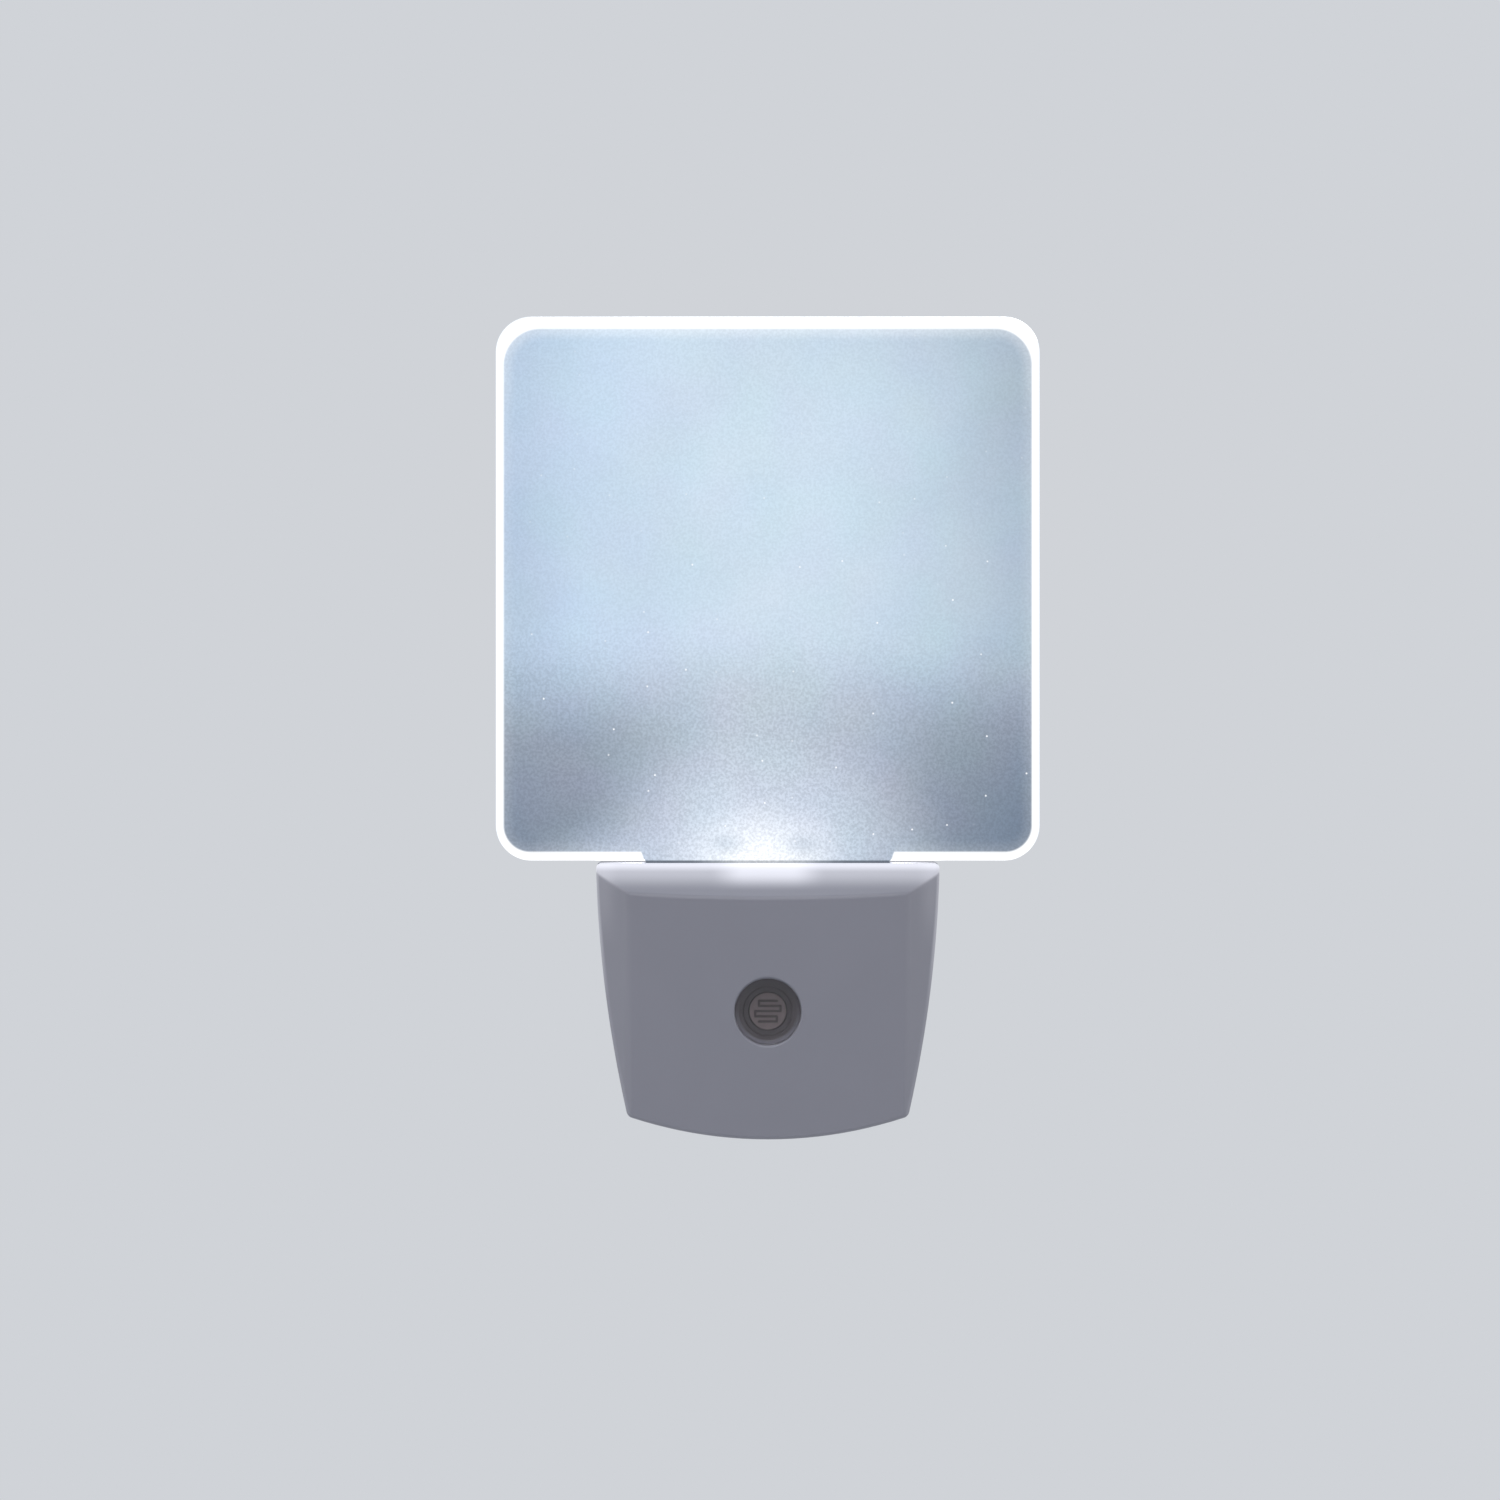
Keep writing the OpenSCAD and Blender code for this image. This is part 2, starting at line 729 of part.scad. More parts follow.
// Plate that holds both pins' flanges against the end wall
module pin_retainer() {
    color("ivory") difference() {
        along_y(retainer_y - retainer_t, retainer_y) boss_outline(boss_wall + slide_gap);
        for (side = [-1, 1]) on_pin(side) translate([0, 0, pin_tail_at])
            cylinder(d = pin_core_d + 4 * slide_gap, h = -pin_tail_at);
    }
}

// ---- wires ----

// The wires run straight from the pins' tails to the main board
function tail_x() = pin_pitch / 2 - pin_tail_at * sin(pin_tilt);
tail_y = pin_tail_at * cos(pin_tilt);

module mains_wire(side) {
    difference() {
        rod_y([side * tail_x(), wire_z], wire_d, board_back_y + 1.4, tail_y - 0.6);
        rod_y([side * tail_x(), wire_z], core_d + 2 * close_gap, board_back_y, tail_y, $fn = lead_fn);
    }
}

module live_wire() { color("sienna") mains_wire(-1); }
module neutral_wire() { color("royalblue") mains_wire(1); }

module wire_cores() {
    color("silver") for (side = [-1, 1])
        rod_y([side * tail_x(), wire_z], wire_core_d, board_front_y + rest_gap,
            tail_y + core_socket - 2 * rest_gap, $fn = lead_fn);
}

// Places of every lead and wire core that goes through the main board, as [x, z, diameter]
lead_holes = concat(
    [for (side = [-1, 1]) [side * cell_lead_pitch / 2, sensor_z, cell_lead_d]],
    [for (side = [-1, 1]) [side * tail_x(), wire_z, wire_core_d]],
    [for (side = [-1, 1]) [film_at[0] + side * film_pitch / 2, film_at[1], lead_d]],
    [for (side = [-1, 1]) [can_at[0] + side * can_pitch / 2, can_at[1], lead_d]],
    [for (side = [-1, 1]) [bleed_at[0] + side * bleed_pitch / 2, bleed_at[1], lead_d]],
    [for (side = [-1, 1]) [fuse_at[0] + side * fuse_pitch / 2, fuse_at[1], lead_d]],
    [for (side = [-1, 1]) [zener_at[0] + side * zener_pitch / 2, zener_at[1], lead_d]],
    [for (leg = [-1, 0, 1]) [transistor_at[0] + leg * transistor_pitch, transistor_at[1], lead_d - 0.1]]
);

// ---- main board ----

module main_board() {
    color("darkolivegreen") difference() {
        translate([-board_w / 2, board_front_y, board_bottom]) cube([board_w, board_t, board_h]);
        for (hole = lead_holes)
            rod_y(hole, hole[2] + 4 * close_gap, board_front_y - past, board_back_y + past, $fn = lead_fn);
    }
}

module film_capacitor() {
    color("gold") on_board(film_at) translate([-film_size[0] / 2, -film_size[1] / 2, 0]) cube(film_size);
}

module electrolytic_can() {
    color("silver") on_board(can_at) difference() {
        translate([0, 0, close_gap]) cylinder(d = can_d, h = can_h);
        cylinder(d = can_d - 2 * can_wall, h = bung_h + 2 * close_gap);
    }
}

module electrolytic_sleeve() {
    color("midnightblue") on_board(can_at) difference() {
        translate([0, 0, rest_gap]) cylinder(d = can_d + 2 * can_sleeve_t + 2 * close_gap, h = can_h);
        translate([0, 0, -past]) cylinder(d = can_d + 2 * close_gap, h = can_h + past + 2 * close_gap);
        cylinder(d = can_d - 1.6, h = can_h + past);
    }
}

module electrolytic_bung() {
    color("dimgray") on_board(can_at) difference() {
        cylinder(d = can_d - 2 * can_wall - 2 * close_gap, h = bung_h);
        for (side = [-1, 1]) translate([side * can_pitch / 2, 0, -past])
            cylinder(d = lead_d + 2 * close_gap, h = bung_h + 2 * past, $fn = lead_fn);
    }
}

module bridge_rectifier() {
    color("dimgray") on_board(bridge_at)
        translate([-bridge_size[0] / 2, -bridge_size[1] / 2, 0]) cube(bridge_size);
}

// Axial part lying along X: a barrel with a swollen cap at each end
module axial_body(size, cap) {
    r = size[0] / 2;
    translate([0, 0, r + 0.2]) rotate([0, 90, 0]) {
        translate([0, 0, -size[1] / 2]) cylinder(r = r - cap, h = size[1], $fn = 48);
        if (cap > 0) for (side = [-1, 1]) translate([0, 0, side * (size[1] / 2 - r * 0.7) - r * 0.7])
            cylinder(r = r, h = r * 1.4, $fn = 48);
    }
}

// The bent leads of an axial part, down through the board
module axial_leads(size, pitch) {
    height = size[0] / 2 + 0.2;
    for (side = [-1, 1]) {
        translate([side * (size[1] / 2 + pitch / 2) / 2, 0, height]) rotate([0, 90, 0])
            cylinder(d = lead_d, h = (pitch - size[1]) / 2, center = true, $fn = lead_fn);
        translate([side * pitch / 2, 0, height]) sphere(d = lead_d, $fn = lead_fn);
        translate([side * pitch / 2, 0, -board_t - tail_len])
            cylinder(d = lead_d, h = height + board_t + tail_len, $fn = lead_fn);
    }
}

module bleed_resistor() { color("cornflowerblue") on_board(bleed_at) axial_body(bleed_size, 0.15); }
module fusible_resistor() { color("darkseagreen") on_board(fuse_at) axial_body(fuse_size, 0.2); }
module zener_diode() { color("indianred") on_board(zener_at) axial_body(zener_size, 0); }

module transistor() {
    color("dimgray") on_board(transistor_at) translate([0, 0, transistor_lift]) linear_extrude(transistor_h)
        intersection() {
            circle(transistor_r);
            translate([-transistor_r, -transistor_r]) square([2 * transistor_r, 1.65 * transistor_r]);
        }
}

module chip_resistors() {
    color("dimgray") for (at = chip_at) on_board(at)
        translate([-chip_size[0] / 2, -chip_size[1] / 2, 0]) cube(chip_size);
}

module component_leads() {
    deep = board_t + tail_len;
    color("silver") {
        on_board(film_at) for (side = [-1, 1]) translate([side * film_pitch / 2, 0, -deep])
            cylinder(d = lead_d, h = deep, $fn = lead_fn);
        on_board(can_at) for (side = [-1, 1]) translate([side * can_pitch / 2, 0, -deep])
            cylinder(d = lead_d, h = deep + bung_h, $fn = lead_fn);
        on_board(bleed_at) axial_leads(bleed_size, bleed_pitch);
        on_board(fuse_at) axial_leads(fuse_size, fuse_pitch);
        on_board(zener_at) axial_leads(zener_size, zener_pitch);
        on_board(transistor_at) for (leg = [-1, 0, 1]) translate([leg * transistor_pitch, 0, -deep])
            cylinder(d = lead_d - 0.1, h = deep + transistor_lift, $fn = lead_fn);
        on_board(bridge_at) for (sx = [-1, 1], sy = [-1, 1])
            translate([(sx * bridge_pitch - bridge_leg[0]) / 2,
                sy * (bridge_size[1] + bridge_leg[1]) / 2 - bridge_leg[1] / 2, 0]) cube(bridge_leg);
    }
}

module solder_joints() {
    color("lightgray") for (hole = lead_holes)
        translate([hole[0], board_back_y, hole[1]]) rotate([-90, 0, 0]) difference() {
            cylinder(r1 = solder_r, r2 = hole[2] / 2 + solder_skin, h = tail_len - rest_gap, $fn = lead_fn);
            translate([0, 0, -past])
                cylinder(d = hole[2] + close_gap, h = tail_len + 2 * past, $fn = lead_fn);
        }
}

// ---- LEDs ----

module led_board() {
    color("white") translate([-led_board_w / 2, split_y - led_board_d / 2, led_board_z])
        cube([led_board_w, led_board_d, led_board_t]);
}

module on_led_board() {
    for (side = [-1, 1]) translate([side * led_pitch / 2, split_y, led_board_top]) children();
}

module led_bodies() {
    color("ivory") on_led_board() difference() {
        translate([-led_w / 2, -led_d / 2, 0]) cube([led_w, led_d, led_h]);
        translate([0, 0, led_h - led_cup_h]) cylinder(d = led_cup_d, h = past);
    }
}

module led_phosphors() {
    color("khaki") on_led_board() translate([0, 0, led_h - led_cup_h])
        cylinder(d = led_cup_d - 2 * close_gap, h = led_cup_h - slide_gap);
}

// Soft wire from the main board up to the LED board, with rounded bends
module led_wire(x) {
    start_z = board_top - 1.2;
    route = [[board_front_y, start_z], [board_front_y - 2.5, start_z],
        [split_y + 2, led_board_z - 2.4], [split_y + 2, led_board_z]];
    for (i = [0:len(route) - 2]) {
        run = route[i + 1] - route[i];
        translate([x, route[i][0], route[i][1]]) {
            rotate([atan2(run[1], run[0]) - 90, 0, 0])
                cylinder(d = led_wire_d, h = norm(run), $fn = lead_fn);
            if (i > 0) sphere(d = led_wire_d, $fn = lead_fn);
        }
    }
}

module led_wire_plus() { color("firebrick") led_wire(led_wire_x); }
module led_wire_minus() { color("black") led_wire(led_wire_x + led_wire_step); }

front_cover();
rear_cover();
housing_screws();
light_panel();
sensor_window();
sensor_holder();
photocell_base();
photocell_track();
photocell_coat();
photocell_leads();
pin_left();
pin_right();
pin_sleeve_left();
pin_sleeve_right();
pin_retainer();
live_wire();
neutral_wire();
wire_cores();
main_board();
film_capacitor();
electrolytic_can();
electrolytic_sleeve();
electrolytic_bung();
bridge_rectifier();
bleed_resistor();
fusible_resistor();
zener_diode();
transistor();
chip_resistors();
component_leads();
solder_joints();
led_board();
led_bodies();
led_phosphors();
led_wire_plus();
led_wire_minus();
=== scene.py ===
# Plug-in night light: a frosted edge-lit panel on a small moulded housing, with a light sensor
# in its front and a two-pin plug moulded on its back. Everything is in metres, in the frame of
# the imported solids: +X right, +Y towards the wall, +Z up, so the light's front faces -Y.

import math

import bmesh
import bpy
from mathutils import Matrix, Vector


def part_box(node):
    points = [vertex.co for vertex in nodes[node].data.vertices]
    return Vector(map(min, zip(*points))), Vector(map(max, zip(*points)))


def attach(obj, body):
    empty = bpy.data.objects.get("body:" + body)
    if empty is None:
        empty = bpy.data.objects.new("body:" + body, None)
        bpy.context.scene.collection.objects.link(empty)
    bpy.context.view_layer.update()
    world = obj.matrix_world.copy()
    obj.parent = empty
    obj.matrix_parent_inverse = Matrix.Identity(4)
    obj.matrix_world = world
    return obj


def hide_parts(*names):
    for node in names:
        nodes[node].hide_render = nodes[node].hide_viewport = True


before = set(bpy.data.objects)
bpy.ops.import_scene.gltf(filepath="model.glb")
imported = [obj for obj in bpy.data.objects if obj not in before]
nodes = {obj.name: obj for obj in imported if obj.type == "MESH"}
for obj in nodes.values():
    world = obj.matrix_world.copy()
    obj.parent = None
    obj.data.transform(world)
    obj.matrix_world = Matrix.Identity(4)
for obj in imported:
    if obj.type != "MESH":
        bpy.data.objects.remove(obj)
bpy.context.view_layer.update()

# ---- light panel ----
# A plate of clear cast acrylic, frosted on both faces by blasting, with a polished round rim.
# Light enters at the tongue that stands in the housing, shows as an even glow in the frosting,
# and leaves as a bright white line at the rim.

MM = 0.001


def linear(srgb):
    """An sRGB hex colour as the linear one that Blender's sockets take."""
    values = [int(srgb[i:i + 2], 16) / 255 for i in (1, 3, 5)]
    return [v / 12.92 if v <= 0.04045 else ((v + 0.055) / 1.055) ** 2.4 for v in values] + [1.0]


def add(tree, kind, *inputs, out=0, **settings):
    """Adds a node and gives one of its outputs, or all of them where out is None. An input is a
    value or the output that feeds it; a dict gives inputs by their sockets' names or numbers."""
    new = tree.nodes.new("ShaderNode" + kind)
    for name, value in settings.items():
        setattr(new, name, value)
    fed = inputs[0] if inputs and isinstance(inputs[0], dict) else dict(enumerate(inputs))
    for socket, value in fed.items():
        if isinstance(value, bpy.types.NodeSocket):
            tree.links.new(value, new.inputs[socket])
        else:
            new.inputs[socket].default_value = value
    return new.outputs if out is None else new.outputs[out]


def start_finish(name, colour, roughness, centre=(0, 0, 0), turn=(0, 0, 0), **sockets):
    """A material, its node tree and shader, and the piece's own coordinates in millimetres
    from a centre."""
    finish = bpy.data.materials.new(name)
    finish.use_nodes = True
    tree = finish.node_tree
    shader = tree.nodes["Principled BSDF"]
    shader.inputs["Base Color"].default_value = linear(colour)
    shader.inputs["Roughness"].default_value = roughness
    for socket, value in sockets.items():
        shader.inputs[socket.replace("_", " ")].default_value = value
    place = add(tree, "TexCoord", out="Object")
    from_centre = add(tree, "VectorMath", place, [c * MM for c in centre], operation="SUBTRACT")
    at_mm = add(tree, "Mapping", {"Vector": from_centre, "Rotation": turn,
                                  "Scale": (1 / MM, 1 / MM, 1 / MM)})
    return finish, tree, shader, at_mm


def push(shape, vec):
    """Extrudes a lone face into a solid."""
    grown = bmesh.ops.extrude_face_region(shape, geom=shape.faces[:])["geom"]
    bmesh.ops.translate(shape, verts=[v for v in grown if isinstance(v, bmesh.types.BMVert)],
                        vec=vec)


def combine(shape, tool, operation):
    """Joins, cuts or intersects a closed shape with another, which is used up."""
    pair = []
    for name, form in (("worked", shape), ("tool", tool)):
        mesh = bpy.data.meshes.new(name)
        form.to_mesh(mesh)
        pair.append(bpy.data.objects.new(name, mesh))
        bpy.context.scene.collection.objects.link(pair[-1])
    tool.free()
    step = pair[0].modifiers.new("Combine", "BOOLEAN")
    step.object, step.operation, step.solver = pair[1], operation, "MANIFOLD"
    seen = pair[0].evaluated_get(bpy.context.evaluated_depsgraph_get())
    mesh = bpy.data.meshes.new_from_object(seen)
    shape.clear()
    shape.from_mesh(mesh)
    bpy.data.meshes.remove(mesh)
    for used in pair:
        bpy.data.objects.remove(used)
    return shape


CREASE = math.radians(32)     # an edge that turns more than this looks sharp


def make_piece(name, shape, finish):
    """Turns a bmesh into an object. Its normals are weighted by face area, so that flat faces
    stay flat beside their rounded edges."""
    bmesh.ops.recalc_face_normals(shape, faces=shape.faces[:])
    mesh = bpy.data.meshes.new(name)
    shape.to_mesh(mesh)
    shape.free()
    mesh.shade_smooth()
    mesh.set_sharp_from_angle(angle=CREASE)
    mesh.materials.append(finish)
    piece = bpy.data.objects.new(name, mesh)
    bpy.context.scene.collection.objects.link(piece)
    flat = piece.modifiers.new("Flat faces", "WEIGHTED_NORMAL")
    flat.keep_sharp = True
    flat.weight = 80
    return piece


PANEL_H, PANEL_CORNER, PANEL_RIM = 76.8 * MM, 5 * MM, 1.4 * MM
TONGUE_HALF = 17.2 * MM
PEG_X, PEG_UP, PEG_R = 12 * MM, 2.5 * MM, 1.5 * MM
NEAR = 0.1 * MM             # places closer than this count as the same

panel_low, panel_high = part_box("light_panel")
panel_z = panel_high.z - PANEL_H
panel_middle = (panel_low + panel_high) / 2
panel_shape = bmesh.new()
ring = [panel_shape.verts.new((x, panel_low.y, z)) for x, z in (
    (panel_low.x, panel_z), (-TONGUE_HALF, panel_z), (-TONGUE_HALF, panel_low.z),
    (TONGUE_HALF, panel_low.z), (TONGUE_HALF, panel_z), (panel_high.x, panel_z),
    (panel_high.x, panel_high.z), (panel_low.x, panel_high.z))]
panel_shape.faces.new(ring)
plate_corners = [ring[i] for i in (0, 5, 6, 7)]
bmesh.ops.bevel(panel_shape, geom=plate_corners, offset=PANEL_CORNER, offset_type="OFFSET",
                affect="VERTICES", segments=18, profile=0.5, material=-1)
push(panel_shape, (0, panel_high.y - panel_low.y, 0))


def on_panel_rim(edge):
    """Whether an edge runs round the panel's front or back, above the tongue."""
    a, b = (v.co for v in edge.verts)
    flat = abs(a.y - b.y) < NEAR
    above = min(a.z, b.z) > panel_z - NEAR
    across_tongue = max(abs(a.x), abs(b.x)) < TONGUE_HALF + NEAR
    return flat and above and not across_tongue


bmesh.ops.bevel(panel_shape, geom=[e for e in panel_shape.edges if on_panel_rim(e)],
                offset=PANEL_RIM, offset_type="OFFSET", affect="EDGES", segments=7, profile=0.5,
                material=-1, clamp_overlap=True)
bmesh.ops.recalc_face_normals(panel_shape, faces=panel_shape.faces[:])
peg_holes = bmesh.new()
for side in (-1, 1):
    peg_place = Matrix.Translation((side * PEG_X, panel_middle.y, panel_low.z + PEG_UP))
    bmesh.ops.create_cone(peg_holes, cap_ends=True, segments=48, radius1=PEG_R, radius2=PEG_R,
                          depth=20 * MM, matrix=peg_place @ Matrix.Rotation(math.pi / 2, 4, "X"))
panel_shape = combine(panel_shape, peg_holes, "DIFFERENCE")

# Frosted acrylic: blasting gives a fine even grain that scatters the light inside the plate, so
# the face glows a soft blue-white, brightest where the two lamps stand below, greyer between
# that and the upper part, and the rim is clear and white. Its places and sizes are in
# millimetres from the plate's middle.
PLATE_MIDDLE = (0, -31, 56.525)
LEFT_GLOW, MIDDLE_GLOW, RIGHT_GLOW = map(linear, ("#B0C4DB", "#C0D1DE", "#A1B2C0"))
LOWER_GLOW, CORNER_GLOW, SHADE_GLOW = map(linear, ("#848E9D", "#4A596E", "#A9B4C2"))
HALO_GLOW, NEAR_GLOW, WHITE_GLOW = map(linear, ("#BAC3CF", "#C4CEDD", "#FFFFFF"))
GAP_PAINTED_SHADE, EDGE_GLOW = map(linear, ("#2A2F38", "#B9CBE0"))
GRAIN_PER_MM = 2.6          # grain about 0.4 mm across, as coarse as it needs to be to show
SPECK_PER_MM = 0.19         # a bright speck in some cells of about 5 mm
CLOUD_PER_MM, TINT_PER_MM = 0.045, 0.11
RIM_X, RIM_Z = 37.3, 36.95  # where the bright rim begins
RIM_CORNER, RIM_TOP_CORNER = 3.8, 5.2
PLATE_HALF, PLATE_LOW, SLOT_X = 38.4, -38.1, 17.4
RIM_END_SLANT = 0.35
SOFT = {"interpolation_type": "SMOOTHSTEP"}
IN_COLOUR = {"data_type": "RGBA", "out": 2}

acrylic, tree, shader, at_mm = start_finish(
    "frosted_cast_acrylic", "#4E565F", 0.42, centre=PLATE_MIDDLE, IOR=1.49, Emission_Strength=1.0)
across, depth, height = add(tree, "SeparateXYZ", at_mm, out=None)
sideways = add(tree, "Math", across, operation="ABSOLUTE")


def spot(x, z, wide, high):
    """1 in the middle of an oval of this half width and height, 0 from its edge outwards."""
    offset = add(tree, "VectorMath", at_mm, (x, 0, z), operation="SUBTRACT")
    oval = add(tree, "VectorMath", offset, (1 / wide, 0, 1 / high), operation="MULTIPLY")
    far = add(tree, "VectorMath", oval, operation="LENGTH", out="Value")
    return add(tree, "MapRange", far, 1.0, 0.0, **SOFT)


def past_square(half_x, half_z, corner):
    """How far a point lies outside a rounded square; inside it is negative."""
    apart = add(tree, "VectorMath", at_mm, operation="ABSOLUTE")
    past_corner = add(tree, "VectorMath", apart, (half_x - corner, 1000, half_z - corner),
                      operation="SUBTRACT")
    outside = add(tree, "VectorMath", past_corner, (0, 0, 0), operation="MAXIMUM")
    round_part = add(tree, "VectorMath", outside, operation="LENGTH", out="Value")
    past_x, _, past_z = add(tree, "SeparateXYZ", past_corner, out=None)
    further = add(tree, "Math", past_x, past_z, operation="MAXIMUM")
    straight_part = add(tree, "Math", further, 0.0, operation="MINIMUM")
    both = add(tree, "Math", round_part, straight_part, operation="ADD")
    return add(tree, "Math", both, corner, operation="SUBTRACT")


upper_half = add(tree, "MapRange", height, 5.0, 0.0, 0.0, -9.0, **SOFT)
to_top_corners = add(tree, "Math", past_square(RIM_X, RIM_Z, RIM_TOP_CORNER), upper_half,
                     operation="ADD")
to_rim = add(tree, "Math", past_square(RIM_X, RIM_Z, RIM_CORNER), to_top_corners,
             operation="MAXIMUM")
to_edge = past_square(PLATE_HALF, PLATE_HALF, PANEL_CORNER / MM)

# the rim is missing over the tongue, and its two ends there are cut at a slant
beside_tongue = add(tree, "Math", sideways, SLOT_X, operation="SUBTRACT")
above_edge = add(tree, "Math", height, PLATE_LOW, operation="SUBTRACT")
slant = add(tree, "Math", above_edge, RIM_END_SLANT, operation="MULTIPLY")
past_slant = add(tree, "Math", beside_tongue, slant, operation="SUBTRACT")
rim_gap = add(tree, "Math", add(tree, "MapRange", past_slant, 0.15, -0.15, **SOFT),
              add(tree, "MapRange", height, -20.0, -25.0, **SOFT), operation="MULTIPLY")
has_rim = add(tree, "Math", 1.0, rim_gap, operation="SUBTRACT")
rim = add(tree, "Math", add(tree, "MapRange", to_rim, -0.25, 0.12, **SOFT), has_rim,
          operation="MULTIPLY")
rim_spill = add(tree, "Math", add(tree, "MapRange", to_rim, -2.0, 0.0, **SOFT),
                add(tree, "MapRange", height, 22.0, 35.0, 0.08, 0.28, **SOFT),
                operation="MULTIPLY")
rim_spill = add(tree, "Math", rim_spill, has_rim, operation="MULTIPLY")

# the plate's own glow, from left to right, then lower down, then the dark lower corners
glow = add(tree, "Mix", {0: add(tree, "MapRange", across, -30, 34, **SOFT),
                         6: LEFT_GLOW, 7: RIGHT_GLOW}, **IN_COLOUR)
glow = add(tree, "Mix", {0: spot(0, 12, 44, 90), 6: glow, 7: MIDDLE_GLOW}, **IN_COLOUR)
glow = add(tree, "Mix", {0: add(tree, "MapRange", height, -23.0, -5.5, **SOFT),
                         6: LOWER_GLOW, 7: glow}, **IN_COLOUR)
left_dark = add(tree, "Math", spot(-39, -38, 26, 24), 0.75, operation="MULTIPLY")
corner_dark = add(tree, "Math", left_dark, spot(40, -37, 29, 28), operation="MAXIMUM")
corner_dark = add(tree, "Math", corner_dark, 0.95, operation="MULTIPLY")
glow = add(tree, "Mix", {0: corner_dark, 6: glow, 7: CORNER_GLOW}, **IN_COLOUR)

# the light over the lamps: each patch's middle, half width, half height, amount and colour
for *oval, amount, colour in (
        (0, -32, 27, 42, 1.0, HALO_GLOW), (-1, -40, 30, 22, 1.0, NEAR_GLOW),
        (-22, -38, 14, 7, 0.4, NEAR_GLOW), (-1, -39, 15, 11, 0.8, WHITE_GLOW)):
    part = add(tree, "Math", spot(*oval), amount, operation="MULTIPLY")
    glow = add(tree, "Mix", {0: part, 6: glow, 7: colour}, **IN_COLOUR)
# two darker patches in the glow just over the lamps: painted shadows
lamp_painted_shadows = add(tree, "Math", spot(-5.8, -35.7, 4.0, 2.2), spot(4.9, -35.8, 3.8, 2.3),
                 operation="MAXIMUM")
lamp_painted_shadows = add(tree, "Math", lamp_painted_shadows, 0.5, operation="MULTIPLY")
glow = add(tree, "Mix", {0: lamp_painted_shadows, 6: glow, 7: SHADE_GLOW}, **IN_COLOUR)
tint = add(tree, "TexNoise", {"Vector": at_mm, "Scale": TINT_PER_MM, "Detail": 1.0}, out="Color")
glow = add(tree, "Mix", {0: 0.1, 6: glow, 7: tint}, blend_type="SOFT_LIGHT", **IN_COLOUR)
glow = add(tree, "Mix", {0: rim_spill, 6: glow, 7: WHITE_GLOW}, **IN_COLOUR)

# cloudiness from side to side, then the frosting's grain
grain = add(tree, "TexNoise", {"Vector": at_mm, "Scale": GRAIN_PER_MM, "Detail": 3.0,
                               "Roughness": 0.65})
cloud = add(tree, "TexNoise", {"Vector": at_mm, "Scale": CLOUD_PER_MM, "Detail": 2.0})
grain_step = add(tree, "Math", add(tree, "MapRange", grain, 0.36, 0.64, -1.0, 1.0, **SOFT),
                 add(tree, "MapRange", height, 0.0, -22.0, 0.05, 0.13, **SOFT),
                 operation="MULTIPLY")
cloud_step = add(tree, "MapRange", cloud, 0.3, 0.7, -0.035, 0.035, **SOFT)
dimmer_sides = add(tree, "Math", add(tree, "MapRange", sideways, 24.0, 37.0, 0.0, -0.12, **SOFT),
                   add(tree, "MapRange", height, -24.0, -8.0, **SOFT), operation="MULTIPLY")
lightness = add(tree, "Math", grain_step, cloud_step, operation="ADD")
lightness = add(tree, "Math", lightness, dimmer_sides, operation="ADD")
lightness = add(tree, "Math", lightness, 1.0, operation="ADD")
glow = add(tree, "VectorMath", {0: glow, 3: lightness}, operation="SCALE")

# specks of dust on the frosting, about 0.2 mm, faint or bright, in half of the cells
on_face = add(tree, "CombineXYZ", across, height)
cells = add(tree, "TexVoronoi", {"Vector": on_face, "Scale": SPECK_PER_MM, "Randomness": 1.0},
            voronoi_dimensions="2D", out=None)
chosen = add(tree, "SeparateXYZ", cells["Color"])
bright = add(tree, "Math", add(tree, "MapRange", chosen, 0.45, 0.95, **SOFT),
             add(tree, "MapRange", height, 25.0, -10.0, 0.15, 1.0, **SOFT), operation="MULTIPLY")
speck = add(tree, "Math", add(tree, "MapRange", cells["Distance"], 0.034, 0.012, **SOFT), bright,
            operation="MULTIPLY")
glow = add(tree, "Mix", {0: speck, 6: glow, 7: WHITE_GLOW}, **IN_COLOUR)
glow = add(tree, "Mix", {0: rim, 6: glow, 7: WHITE_GLOW}, **IN_COLOUR)

# seen edge on, the plate is a little less bright in its middle than along its two corners
from_middle = add(tree, "Math", depth, operation="ABSOLUTE")
edge_on = add(tree, "Math", add(tree, "MapRange", to_edge, -0.3, -0.1, **SOFT),
              add(tree, "MapRange", from_middle, 2.7, 1.2, **SOFT), operation="MULTIPLY")
drawn_out = add(tree, "VectorMath", at_mm, (0.05, 1.5, 0.05), operation="MULTIPLY")
streaks = add(tree, "TexNoise", {"Vector": drawn_out, "Scale": 1.0})
edge_on = add(tree, "Math", edge_on,
              add(tree, "MapRange", streaks, 0.3, 0.7, 0.75, 1.0, **SOFT), operation="MULTIPLY")
glow = add(tree, "Mix", {0: edge_on, 6: glow, 7: EDGE_GLOW}, **IN_COLOUR)

# the tongue is painted dark in the narrow gap over the housing, a painted shade; beside it the
# plate's lower edge shines several times brighter than white paper, and lights the housing's top
gap_painted_shade = add(tree, "Math", add(tree, "MapRange", height, -38.0, -38.2, **SOFT),
             add(tree, "MapRange", beside_tongue, 0.0, -0.3, **SOFT), operation="MULTIPLY")
gap_painted_shade = add(tree, "Math", gap_painted_shade, add(tree, "MapRange", sideways, 3, 12, 0.55, 0.9, **SOFT),
             operation="MULTIPLY")
glow = add(tree, "Mix", {0: gap_painted_shade, 6: glow, 7: GAP_PAINTED_SHADE}, **IN_COLOUR)
from_slot = add(tree, "Math", beside_tongue, operation="ABSOLUTE")
underside = add(tree, "Math", add(tree, "MapRange", height, -37.9, -38.1, **SOFT),
                add(tree, "MapRange", from_slot, 8.0, 0.0, **SOFT), operation="MULTIPLY")
